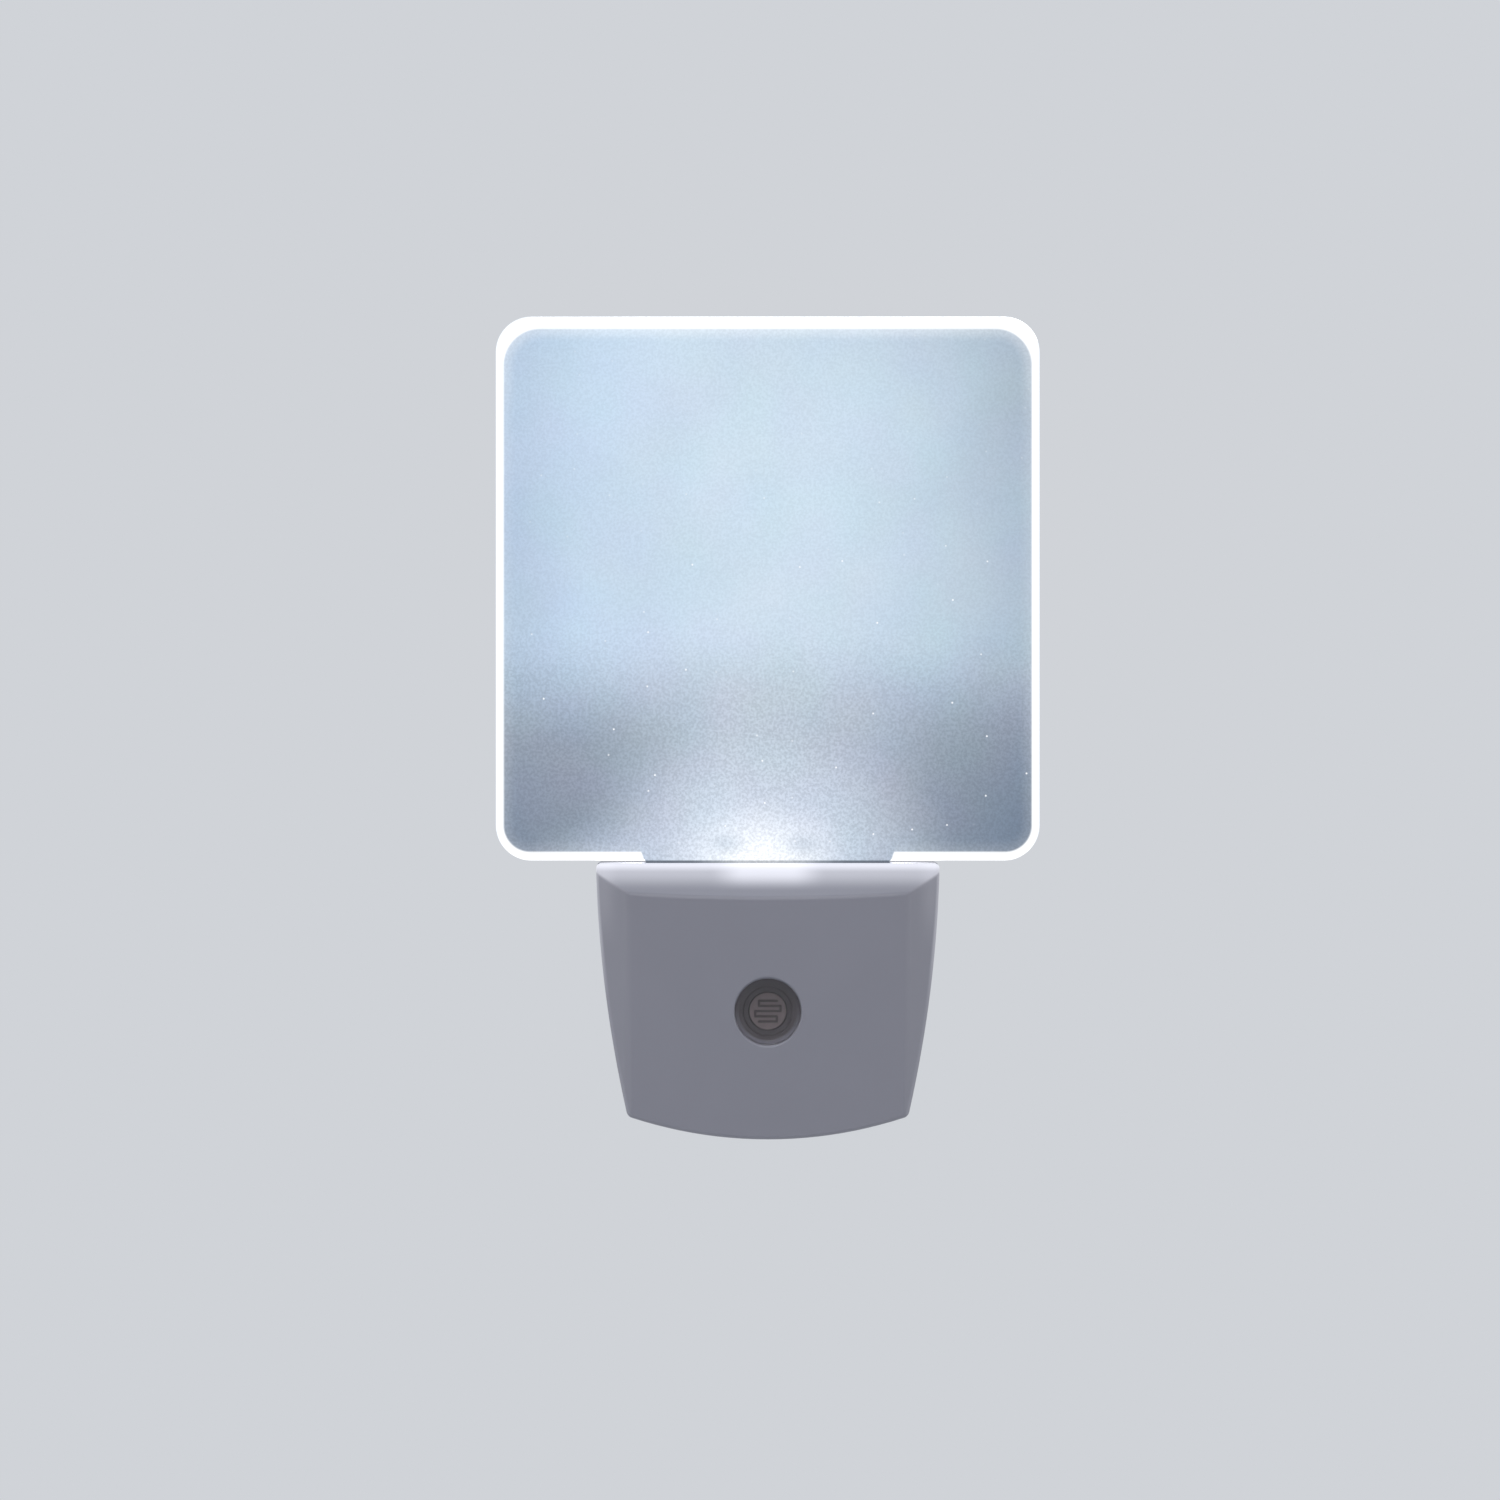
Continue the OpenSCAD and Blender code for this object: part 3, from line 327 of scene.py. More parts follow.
strength = add(tree, "Math", underside, rim, operation="MULTIPLY")
strength = add(tree, "Math", strength, 4.0, 1.0, operation="MULTIPLY_ADD")
glow = add(tree, "VectorMath", {0: glow, 3: strength}, operation="SCALE")
tree.links.new(glow, shader.inputs["Emission Color"])
tree.links.new(add(tree, "MapRange", to_rim, -0.2, 0.2, 0.42, 0.12, **SOFT),
               shader.inputs["Roughness"])
tree.links.new(add(tree, "Bump", {"Height": grain, "Distance": 0.03 * MM, "Strength": 0.6}),
               shader.inputs["Normal"])
light_panel = make_piece("panel_plate", panel_shape, acrylic)
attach(light_panel, "root")
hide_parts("light_panel")

# ---- front cover and rear cover ----
# The housing is moulded from cool grey ABS in two halves that meet at a fine parting line. The
# front has a bowed face, two tapering facets and a sloped bevel along its top; the rear carries
# the plug boss. The mould's cutter leaves every outer edge softly rounded.

SKIN = 0.03 * MM             # the dressed skin lies this far inside the solids' faces
WELD = 0.0005 * MM           # points closer than this become one
CLOSEST = 0.03 * MM          # the least distance between a rounded form's corners
SPLIT_Y, BACK_Y, FRONT_Y = -31 * MM, -17.5 * MM, -45.5 * MM
SIDE_CENTRE, SIDE_R = (-145.85 * MM, 22 * MM), 170 * MM
BOTTOM_CENTRE, BOTTOM_R = (0.0, 41.7 * MM), 62 * MM
CORNER_R, TOP_Z, BOTTOM_Z = 1.1 * MM, 18.1 * MM, -20.3 * MM
BOW_R, FACET_X, FACET_ANGLE = 240 * MM, 19.6 * MM, math.radians(40.7)
BEVEL_H, BEVEL_D, BACK_CHAMFER = 4.1 * MM, 5.5 * MM, 1.5 * MM


def corner_place():
    """Where the bottom corners' centres lie: as far inside both long arcs as the corner's
    radius."""
    a, b = Vector(SIDE_CENTRE), Vector(BOTTOM_CENTRE)
    ra, rb = SIDE_R - CORNER_R, BOTTOM_R - CORNER_R
    apart = (b - a).length
    along = (b - a) / apart
    foot = (apart ** 2 + ra ** 2 - rb ** 2) / (2 * apart)
    return a + foot * along + math.sqrt(ra ** 2 - foot ** 2) * Vector((along.y, -along.x))


def outline_face(y, inside=SKIN):
    """The housing's outline as one face at depth y: arcs spun one after another from the right
    end of the straight top, down the side, along the bottom and up the other side."""
    shape = bmesh.new()
    corner = corner_place()
    top_up = TOP_Z - inside - SIDE_CENTRE[1]
    top_out = math.sqrt((SIDE_R - inside) ** 2 - top_up ** 2)
    top = math.atan2(top_up, top_out)
    side = math.atan2(corner.y - SIDE_CENTRE[1], corner.x - SIDE_CENTRE[0])
    bottom = math.atan2(corner.y - BOTTOM_CENTRE[1], corner.x - BOTTOM_CENTRE[0])
    last = shape.verts.new((SIDE_CENTRE[0] + top_out, y, TOP_Z - inside))
    for centre, angle, steps in (
            (SIDE_CENTRE, top - side, 16), (corner, side - bottom, 5),
            (BOTTOM_CENTRE, 2 * bottom + math.pi, 22), ((-corner.x, corner.y), side - bottom, 5),
            ((-SIDE_CENTRE[0], SIDE_CENTRE[1]), top - side, 16)):
        arc = bmesh.ops.spin(shape, geom=[last], cent=(centre[0], y, centre[1]), axis=(0, 1, 0),
                             angle=angle, steps=steps)
        last = next(v for v in arc["geom_last"] if isinstance(v, bmesh.types.BMVert))
    bmesh.ops.remove_doubles(shape, verts=shape.verts[:], dist=WELD)
    shape.edges.new([v for v in shape.verts if len(v.link_edges) == 1])
    bmesh.ops.edgeloop_fill(shape, edges=shape.edges[:])
    return shape


def slice_off(shape, point, outwards, inside=SKIN):
    """Cuts away what lies beyond a plane, drawn in a little, and closes the cut."""
    outwards = Vector(outwards).normalized()
    cut = bmesh.ops.bisect_plane(shape, geom=shape.verts[:] + shape.edges[:] + shape.faces[:],
                                 dist=0.0001 * MM, plane_co=Vector(point) - inside * outwards,
                                 plane_no=outwards, clear_outer=True)
    edges = [e for e in cut["geom_cut"] if isinstance(e, bmesh.types.BMEdge)]
    if edges:
        bmesh.ops.edgeloop_fill(shape, edges=edges)


def wrap(shape):
    """Skins a convex form's corners anew, so that it is closed whatever the cuts have left."""
    bmesh.ops.delete(shape, geom=shape.edges[:] + shape.faces[:], context="EDGES_FACES")
    bmesh.ops.remove_doubles(shape, verts=shape.verts[:], dist=CLOSEST)
    bmesh.ops.convex_hull(shape, input=shape.verts[:])
    bmesh.ops.delete(shape, geom=[v for v in shape.verts if not v.link_faces], context="VERTS")
    bmesh.ops.recalc_face_normals(shape, faces=shape.faces[:])


SAME_PLANE, SHARP, ROLL_STEP = (math.radians(angle) for angle in (0.5, 9, 15))


def roll_edges(shape, radius_of, thin=0.015 * MM):
    """Rounds a convex form. Along each sharp edge it slices by planes that touch a ball of that
    edge's radius, rolled inside the form, so that roundings of any size meet without a fold.
    Faces narrower than thin are merged first, as their directions are not to be trusted."""
    wrap(shape)
    bmesh.ops.dissolve_degenerate(shape, dist=thin, edges=shape.edges[:])
    bmesh.ops.dissolve_limit(shape, angle_limit=SAME_PLANE, verts=shape.verts[:],
                             edges=shape.edges[:])
    bmesh.ops.recalc_face_normals(shape, faces=shape.faces[:])
    rolls = []
    for edge in shape.edges:
        turn = edge.calc_face_angle()
        if turn > SHARP:
            middle = (edge.verts[0].co + edge.verts[1].co) / 2
            normals = [face.normal.copy() for face in edge.link_faces]
            rolls.append((middle, turn, radius_of(middle), *normals))
    for middle, turn, radius, first, second in rolls:
        centre = middle - radius * (first + second) / (1 + first.dot(second))
        count = max(2, round(turn / ROLL_STEP))
        for i in range(1, count):
            share_1, share_2 = math.sin((1 - i / count) * turn), math.sin(i / count * turn)
            outwards = (first * share_1 + second * share_2) / math.sin(turn)
            slice_off(shape, centre + radius * outwards, outwards, inside=0)
    wrap(shape)


def node_shape(node):
    """A copy of a CAD node's own shape, welded."""
    shape = bmesh.new()
    shape.from_mesh(nodes[node].data)
    bmesh.ops.remove_doubles(shape, verts=shape.verts[:], dist=2 * WELD)
    return shape


def spin_shape(profile, steps):
    """A round shape about the Y axis, from a profile of (radius, depth) points."""
    shape = bmesh.new()
    line = [shape.verts.new((r, y, 0)) for r, y in profile]
    edges = [shape.edges.new(pair) for pair in zip(line, line[1:])]
    bmesh.ops.spin(shape, geom=line + edges, cent=(0, 0, 0), axis=(0, 1, 0), angle=2 * math.pi,
                   steps=steps, use_merge=True)
    bmesh.ops.remove_doubles(shape, verts=shape.verts[:], dist=WELD)
    bmesh.ops.recalc_face_normals(shape, faces=shape.faces[:])
    return shape


def flared_mouth(shape, middle, radius, lip, out=1):
    """Adds a cutter that rounds the mouth of a hole along Y by a lip's radius; out is 1 where the
    hole opens towards +Y."""
    x, y, z = middle
    turns = [math.radians(angle) for angle in range(0, 91, 15)]
    arc = [(radius + lip - lip * math.cos(a), y - out * lip * (1 - math.sin(a))) for a in turns]
    profile = [(0, y - out * 2 * lip), (radius - 0.02 * MM, y - out * 2 * lip), *arc,
               (radius + lip, y + out * lip), (0, y + out * lip)]
    part = spin_shape(profile, 64)
    bmesh.ops.translate(part, verts=part.verts[:], vec=(x, 0, z))
    mesh = bpy.data.meshes.new("mouth")
    part.to_mesh(mesh)
    part.free()
    shape.from_mesh(mesh)
    bpy.data.meshes.remove(mesh)


LIP_INSIDE, LIP_OVERLAP, LIP_REACH = 0.3 * MM, 2 * MM, 6 * MM


def past_parting(way):
    """A narrower form that goes on past the parting line, towards +Y or -Y, so that a cover cut
    to its rounded form keeps its lip there."""
    shape = outline_face(SPLIT_Y - way * LIP_OVERLAP, inside=LIP_INSIDE)
    push(shape, (0, way * (LIP_OVERLAP + LIP_REACH), 0))
    bmesh.ops.recalc_face_normals(shape, faces=shape.faces[:])
    return shape


# Front: the outline pushed forward, then cut by the bow, the facets and the bevel
PARTING_R, EDGE_R, BEVEL_EDGE_R, FACET_EDGE_R = 0.16 * MM, 0.6 * MM, 1.0 * MM, 3.2 * MM
FACETS_HALF_H, FACET_NEAR = 13 * MM, 0.6 * MM
BOW_STEPS = 8
SENSOR_Z, WINDOW_HOLE_R, WINDOW_LIP = -2.5 * MM, 4.65 * MM, 0.4 * MM


def front_edge_radius(at):
    """The radius of the front's edge at a place: small at the parting line, wide where the bow
    turns into the facets."""
    if at.y > SPLIT_Y - 1 * MM:
        return PARTING_R
    at_facet = abs(abs(at.x) - FACET_X) < FACET_NEAR
    if at_facet and at.y < SPLIT_Y - 10 * MM and abs(at.z) < FACETS_HALF_H:
        return FACET_EDGE_R
    if at.y < SPLIT_Y - 9.6 * MM and FACETS_HALF_H < at.z < TOP_Z - 0.5 * MM:
        return BEVEL_EDGE_R
    return EDGE_R


facet_y = FRONT_Y + BOW_R - math.sqrt(BOW_R ** 2 - FACET_X ** 2)
front_form = outline_face(SPLIT_Y - SKIN)
push(front_form, (0, FRONT_Y - SPLIT_Y - 2 * MM, 0))
for i in range(-BOW_STEPS, BOW_STEPS + 1):
    turn = i / (BOW_STEPS + 0.5) * math.asin(FACET_X / BOW_R)
    outwards = Vector((math.sin(turn), -math.cos(turn), 0))
    slice_off(front_form, Vector((0, FRONT_Y + BOW_R, 0)) + BOW_R * outwards, outwards)
for side in (-1, 1):
    slice_off(front_form, (side * FACET_X, facet_y, 0),
              (side * math.sin(FACET_ANGLE), -math.cos(FACET_ANGLE), 0))
slice_off(front_form, (0, facet_y, TOP_Z - BEVEL_H), (0, -BEVEL_H, BEVEL_D))
roll_edges(front_form, front_edge_radius, thin=0.02 * MM)
front_form = combine(front_form, past_parting(1), "UNION")
front_shape = combine(node_shape("front_cover"), front_form, "INTERSECT")
window_mouth = bmesh.new()
flared_mouth(window_mouth, (0, FRONT_Y + SKIN, SENSOR_Z), WINDOW_HOLE_R, WINDOW_LIP, out=-1)
front_shape = combine(front_shape, window_mouth, "DIFFERENCE")

# Rear: the outline pushed back and chamfered, joined with the plug boss
REAR_HALF_W, REAR_EDGE_R = 24.15 * MM, 0.3 * MM
BOSS_W, BOSS_H, BOSS_SLANT, BOSS_CHAMFER = 35.3 * MM, 13.7 * MM, 4.6 * MM, 0.8 * MM
BOSS_SIDE_R, BOSS_FACE_R = 0.8 * MM, 0.35 * MM
PIN_PITCH, PIN_HOLE_R, PIN_LIP = 18.6 * MM, 2.35 * MM, 0.25 * MM
SCREW_HOLES = (19.9 * MM, 12.6 * MM), (15.5 * MM, -14.2 * MM)
SCREW_HOLE_R, SCREW_LIP = 2.2 * MM, 0.3 * MM


def rear_edge_radius(at):
    return PARTING_R if at.y < SPLIT_Y + MM else REAR_EDGE_R


def boss_edge_radius(at):
    return BOSS_SIDE_R if at.y < -2 * BOSS_CHAMFER else BOSS_FACE_R


rear_form = outline_face(SPLIT_Y + SKIN)
push(rear_form, (0, BACK_Y - SPLIT_Y - 2 * SKIN, 0))
for point, outwards in (((REAR_HALF_W - BACK_CHAMFER, BACK_Y, 0), (1, 1, 0)),
                        ((BACK_CHAMFER - REAR_HALF_W, BACK_Y, 0), (-1, 1, 0)),
                        ((0, BACK_Y, TOP_Z - BACK_CHAMFER), (0, 1, 1)),
                        ((0, BACK_Y, BOTTOM_Z + BACK_CHAMFER), (0, 1, -1))):
    slice_off(rear_form, point, outwards)
roll_edges(rear_form, rear_edge_radius)
rear_form = combine(rear_form, past_parting(-1), "UNION")

boss_form = bmesh.new()
bmesh.ops.create_cube(boss_form, size=1.0, matrix=Matrix.Translation((0, -10 * MM, 0))
                      @ Matrix.Diagonal((BOSS_W - 2 * SKIN, 20 * MM, BOSS_H - 2 * SKIN, 1)))
slice_off(boss_form, (0, 0, 0), (0, 1, 0))
for sx in (-1, 1):
    for sz in (-1, 1):
        slice_off(boss_form, (sx * BOSS_W / 2, 0, sz * (BOSS_H / 2 - BOSS_SLANT)), (sx, 0, sz))
for sx, sz, reach in ((1, 0, BOSS_W), (-1, 0, BOSS_W), (0, 1, BOSS_H), (0, -1, BOSS_H)):
    inner = reach / 2 - BOSS_CHAMFER
    slice_off(boss_form, (sx * inner, 0, sz * inner), (sx, 1, sz))
roll_edges(boss_form, boss_edge_radius)
rear_form = combine(rear_form, boss_form, "UNION")

mouths = bmesh.new()
for side in (-1, 1):
    flared_mouth(mouths, (side * PIN_PITCH / 2, -SKIN, 0), PIN_HOLE_R, PIN_LIP)
    for x, z in SCREW_HOLES:
        flared_mouth(mouths, (side * x, BACK_Y - SKIN, z), SCREW_HOLE_R, SCREW_LIP)
rear_shape = combine(node_shape("rear_cover"), rear_form, "INTERSECT")
rear_shape = combine(rear_shape, mouths, "DIFFERENCE")


# Moulded ABS: the mould is spark-eroded, so the skin is satin with a fine even grain, and the
# colour drifts very slightly where the plastic flowed.
def moulded(name, colour, roughness, grain_mm, depth_mm=0.006, drift=0.02, drift_mm=14,
            **sockets):
    """A moulded plastic: fine grain in the skin, slow drift in the colour, varied gloss."""
    finish, tree, shader, at_mm = start_finish(name, colour, roughness, **sockets)
    skin = add(tree, "TexNoise", {"Vector": at_mm, "Scale": 1 / grain_mm, "Detail": 2.0,
                                  "Roughness": 0.6})
    flow = add(tree, "TexNoise", {"Vector": at_mm, "Scale": 1 / drift_mm, "Detail": 3.0,
                                  "Distortion": 0.6})
    lighter = add(tree, "MapRange", flow, 0.3, 0.7, 1 - drift, 1 + drift)
    tint = add(tree, "VectorMath", {0: linear(colour)[:3], 3: lighter}, operation="SCALE")
    gloss = add(tree, "MapRange", skin, 0.3, 0.7, roughness - 0.04, roughness + 0.05)
    bump = add(tree, "Bump", {"Height": skin, "Distance": depth_mm * MM, "Strength": 0.7})
    for value, socket in ((tint, "Base Color"), (gloss, "Roughness"), (bump, "Normal")):
        tree.links.new(value, shader.inputs[socket])
    return finish


grey_abs = moulded("moulded_cool_grey_abs", "#777883", 0.55, grain_mm=0.25, depth_mm=0.008,
                   drift=0.015, drift_mm=16, IOR=1.53, Emission_Strength=1.0)

# The panel's light falling on the housing is painted into the housing's emission: painted light
# on the bevel, most in its middle and towards its top edge, and a little on the facets beside it.
# Its places are in millimetres.
PAINTED_PANEL_LIGHT = linear("#F6F7FF")[:3]

tree = grey_abs.node_tree
across, depth, height = add(tree, "SeparateXYZ", tree.nodes["Mapping"].outputs[0], out=None)
sideways = add(tree, "Math", across, operation="ABSOLUTE")

# how far the bowed face and the facets lie behind the front's foremost line, and from them
# how far a place stands inside the bevel's mitres and above its lower edge
squared = add(tree, "Math", sideways, 2.0, operation="POWER")
bow_back = add(tree, "Math", squared, MM / (2 * BOW_R), operation="MULTIPLY")
past_facet_x = add(tree, "Math", sideways, FACET_X / MM, operation="SUBTRACT")
facet_back = add(tree, "Math", past_facet_x, math.tan(FACET_ANGLE), operation="MULTIPLY")
up_bevel = add(tree, "Math", height, (TOP_Z - BEVEL_H) / MM, operation="SUBTRACT")
up_bevel = add(tree, "Math", up_bevel, BEVEL_D / BEVEL_H, operation="MULTIPLY")
inside_mitre = add(tree, "Math", up_bevel, facet_back, operation="SUBTRACT")
above_bow = add(tree, "Math", bow_back, -BEVEL_H / BEVEL_D, height, operation="MULTIPLY_ADD")

bevel_painted_light_base = add(tree, "Math", add(tree, "MapRange", above_bow, 13.45, 13.8, **SOFT),
            add(tree, "MapRange", height, 14.3, 16.95, 0.05, 0.34, **SOFT), operation="MULTIPLY")
middle = add(tree, "Math", add(tree, "MapRange", sideways, 8.4, 3.2, **SOFT),
             add(tree, "MapRange", height, 17.6, 16.9, 0.19, 0.32, **SOFT), operation="MULTIPLY")
middle = add(tree, "Math", add(tree, "MapRange", height, 14.2, 16.9, **SOFT), middle,
             operation="MULTIPLY")
bevel_painted_light = add(tree, "Math", bevel_painted_light_base, middle, operation="ADD")
bevel_painted_light = add(tree, "Math", bevel_painted_light, add(tree, "MapRange", inside_mitre, -0.5, 0.3, **SOFT),
               operation="MULTIPLY")
facet_painted_light = add(tree, "Math", add(tree, "MapRange", height, 5.0, 14.0, **SOFT),
               add(tree, "MapRange", sideways, 20.5, 23.0, **SOFT), operation="MULTIPLY")
facet_painted_light = add(tree, "Math", facet_painted_light, 0.05, operation="MULTIPLY")
top_edge_painted_light = add(tree, "Math", add(tree, "MapRange", height, 16.8, 17.95, **SOFT),
               add(tree, "MapRange", depth, -37.0, -38.6, 0.12, 0.35, **SOFT),
               operation="MULTIPLY")
# all the painted light on the bevel, the facets and the top edge
painted_panel_light = add(tree, "Math", bevel_painted_light, facet_painted_light, operation="ADD")
painted_panel_light = add(tree, "Math", painted_panel_light, top_edge_painted_light, operation="ADD")

# a painted highlight: the panel reaches past the housing at both sides, so its rim's light on the
# side edges is painted in, less lower down, in a thin line just behind the front face
folded = add(tree, "CombineXYZ", sideways, 0.0, height)
side_far = add(tree, "VectorMath", folded, (SIDE_CENTRE[0] / MM, 0, SIDE_CENTRE[1] / MM),
               operation="DISTANCE", out="Value")
bottom_far = add(tree, "VectorMath", folded, (BOTTOM_CENTRE[0] / MM, 0, BOTTOM_CENTRE[1] / MM),
                 operation="DISTANCE", out="Value")
to_outline = add(tree, "Math", add(tree, "Math", SIDE_R / MM, side_far, operation="SUBTRACT"),
                 add(tree, "Math", BOTTOM_R / MM, bottom_far, operation="SUBTRACT"),
                 operation="MINIMUM")
side_edge_painted_light = add(tree, "Math", add(tree, "MapRange", to_outline, 0.65, 0.1, **SOFT),
                add(tree, "MapRange", height, -4.0, 11.0, 0.05, 0.2, **SOFT),
                operation="MULTIPLY")
face_y = add(tree, "Math", add(tree, "Math", facet_back, facet_y / MM, operation="ADD"),
             add(tree, "Math", bow_back, FRONT_Y / MM, operation="ADD"), operation="MAXIMUM")
behind_face = add(tree, "Math", depth, face_y, operation="SUBTRACT")
side_edge_painted_light = add(tree, "Math", side_edge_painted_light, add(tree, "MapRange", behind_face, 2.2, 0.3, **SOFT),
                operation="MULTIPLY")
painted_panel_light = add(tree, "Math", painted_panel_light, side_edge_painted_light, operation="MAXIMUM")
# the painted light fades out towards the back
painted_panel_light = add(tree, "Math", painted_panel_light, add(tree, "MapRange", depth, -32.0, -36.0, **SOFT),
              operation="MULTIPLY")
tree.links.new(add(tree, "VectorMath", {0: PAINTED_PANEL_LIGHT, 3: painted_panel_light}, operation="SCALE"),
               tree.nodes["Principled BSDF"].inputs["Emission Color"])

front_cover = make_piece("housing_front", front_shape, grey_abs)
rear_cover = make_piece("housing_rear", rear_shape, grey_abs)
for piece, node in ((front_cover, "front_cover"), (rear_cover, "rear_cover")):
    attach(piece, "root")
    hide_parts(node)

# ---- housing screws ----
# Four pan-head self-tapping screws of zinc-plated steel hold the halves together, put in from
# the rear at the bottom of deep counterbores.


def metal(name, colour, roughness, streak_mm=0.15, stretch=(1, 1, 1), depth_mm=0.002, **sockets):
    """A metal skin: fine streaks from how it was worked, stretched along one way, and patches
    where it is a little duller."""
    finish, tree, shader, at_mm = start_finish(name, colour, roughness, Metallic=1.0, **sockets)
    pulled = add(tree, "VectorMath", at_mm, stretch, operation="MULTIPLY")
    streaks = add(tree, "TexNoise", {"Vector": pulled, "Scale": 1 / streak_mm, "Detail": 3.0})
    patches = add(tree, "TexNoise", {"Vector": at_mm, "Scale": 0.5, "Detail": 2.0})
    mixed = add(tree, "Math", streaks, patches, operation="ADD")
    tree.links.new(add(tree, "MapRange", mixed, 0.7, 1.3, roughness - 0.06, roughness + 0.1),
                   shader.inputs["Roughness"])
    tree.links.new(add(tree, "Bump", {"Height": streaks, "Distance": depth_mm * MM,
                                      "Strength": 0.6}), shader.inputs["Normal"])
    return finish


def finish_node(node, finish):
    """Gives a CAD node that stays its real finish."""
    nodes[node].material_slots[0].material = finish


# Zinc plate: a cool grey shine, a little cloudy
finish_node("housing_screws", metal("zinc_plated_steel", "#B9BEC6", 0.32, streak_mm=0.3))

# ---- sensor window ----
# A turned-looking moulded disc of clear polycarbonate, with a flange behind the front cover's
# hole and a slightly crowned face half a millimetre behind the front.

WINDOW_R, FLANGE_T, FLANGE_CHAMFER = 4.6 * MM, 1.0 * MM, 0.1 * MM
# the crowned face: each point's radius and how far back it lies, in millimetres
CROWN = (0, 0), (2.6, 0.03), (3.7, 0.09), (4.25, 0.16), (4.48, 0.25), (4.6, 0.45)

window_low, window_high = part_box("sensor_window")
flange_r = (window_high.x - window_low.x) / 2
flange_y = window_high.y - FLANGE_T
window_shape = spin_shape([
    *((out * MM, window_low.y + back * MM) for out, back in CROWN), (WINDOW_R, flange_y),
    (flange_r - FLANGE_CHAMFER, flange_y), (flange_r, flange_y + FLANGE_CHAMFER),
    (flange_r, window_high.y - FLANGE_CHAMFER), (flange_r - FLANGE_CHAMFER, window_high.y),
    (0, window_high.y)], 96)
bmesh.ops.translate(window_shape, verts=window_shape.verts[:], vec=(0, 0, SENSOR_Z))

# Clear polycarbonate: glossy from a polished mould, with a faint uneven haze of handling
clear_pc, tree, shader, at_mm = start_finish(
    "clear_moulded_polycarbonate", "#E6E3E6", 0.06, IOR=1.585, Transmission_Weight=1.0, Alpha=0.4)
haze = add(tree, "TexNoise", {"Vector": at_mm, "Scale": 1.4, "Detail": 2.0})
tree.links.new(add(tree, "MapRange", haze, 0.0, 1.0, 0.03, 0.11), shader.inputs["Roughness"])
sensor_window = make_piece("window_disc", window_shape, clear_pc)
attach(sensor_window, "root")
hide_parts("sensor_window")

# ---- sensor holder ----
# A black ABS bush that the photocell stands in. Its front is turned in two low steps, seen as
# dark rings round the photocell.

HOLDER_BORE, HOLDER_CHAMFER = 2.6 * MM, 0.15 * MM
# the two steps: each point's radius and how far back it lies, in millimetres
HOLDER_STEPS = ((2.6, 0.7), (2.75, 0.5), (3.3, 0.5), (3.4, 0.4), (3.4, 0.15), (3.5, 0.05),
                (4.0, 0.05), (4.1, 0))

holder_low, holder_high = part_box("sensor_holder")
holder_r = (holder_high.x - holder_low.x) / 2
holder_shape = spin_shape([
    (HOLDER_BORE, holder_high.y),
    *((out * MM, holder_low.y + back * MM) for out, back in HOLDER_STEPS),
    (holder_r - HOLDER_CHAMFER, holder_low.y), (holder_r, holder_low.y + HOLDER_CHAMFER),
    (holder_r, holder_high.y - HOLDER_CHAMFER), (holder_r - HOLDER_CHAMFER, holder_high.y),
    (HOLDER_BORE, holder_high.y)], 96)
bmesh.ops.translate(holder_shape, verts=holder_shape.verts[:], vec=(0, 0, SENSOR_Z))

# Dark ABS: satin like the housing; its outer land is painted paler, most towards the bottom, a
# painted highlight of the light from above
dark_abs = moulded("moulded_dark_abs", "#4A454A", 0.38, grain_mm=0.3, drift=0.1, drift_mm=2,
                   IOR=1.53)
PAINTED_LAND_LIGHT, LAND_R = linear("#7E7D8A"), 4.05

tree = dark_abs.node_tree
shader = tree.nodes["Principled BSDF"]
plain = shader.inputs["Base Color"].links[0].from_socket
from_sensor = add(tree, "VectorMath", tree.nodes["Mapping"].outputs[0], (0, 0, SENSOR_Z / MM),
                  operation="SUBTRACT")
flat_on = add(tree, "VectorMath", from_sensor, (1, 0, 1), operation="MULTIPLY")
from_middle = add(tree, "VectorMath", flat_on, operation="LENGTH", out="Value")
# the outer land's painted highlight, strongest towards the bottom
lower_land_painted_light = add(tree, "Math",
               add(tree, "MapRange", from_middle, LAND_R - 0.1, LAND_R + 0.1, **SOFT),
               add(tree, "MapRange", add(tree, "SeparateXYZ", flat_on, out="Z"),
                   2.0, -4.0, 0.1, 1.0, **SOFT), operation="MULTIPLY")
tree.links.new(add(tree, "Mix", {0: lower_land_painted_light, 6: plain, 7: PAINTED_LAND_LIGHT}, **IN_COLOUR),
               shader.inputs["Base Color"])
sensor_holder = make_piece("holder_bush", holder_shape, dark_abs)
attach(sensor_holder, "root")
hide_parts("sensor_holder")

# ---- photocell ----
# A sintered ceramic disc with silvery electrodes and a dark line of cadmium sulphide snaking
# between them, under a thin coat of clear epoxy, on two tinned leads.

# Ceramic and sprayed sulphide are matt and finely speckled; the epoxy over them is glossy and
# slightly rippled, as it was poured; the tinned leads are soft bright grey.
finish_node("photocell_base", moulded("silvered_sintered_ceramic", "#8C8184", 0.45, grain_mm=0.12,
                                      drift=0.08, drift_mm=1.5))
finish_node("photocell_track", moulded("sprayed_cadmium_sulphide", "#40363B", 0.6, grain_mm=0.08,
                                       drift=0.12, drift_mm=0.8))
clear_epoxy, tree, shader, at_mm = start_finish(
    "cast_clear_epoxy", "#EFE6E3", 0.1, IOR=1.52, Transmission_Weight=1.0, Alpha=0.4)
ripple = add(tree, "TexNoise", {"Vector": at_mm, "Scale": 0.8, "Detail": 1.0})
tree.links.new(add(tree, "Bump", {"Height": ripple, "Distance": 0.03 * MM}),
               shader.inputs["Normal"])
finish_node("photocell_coat", clear_epoxy)
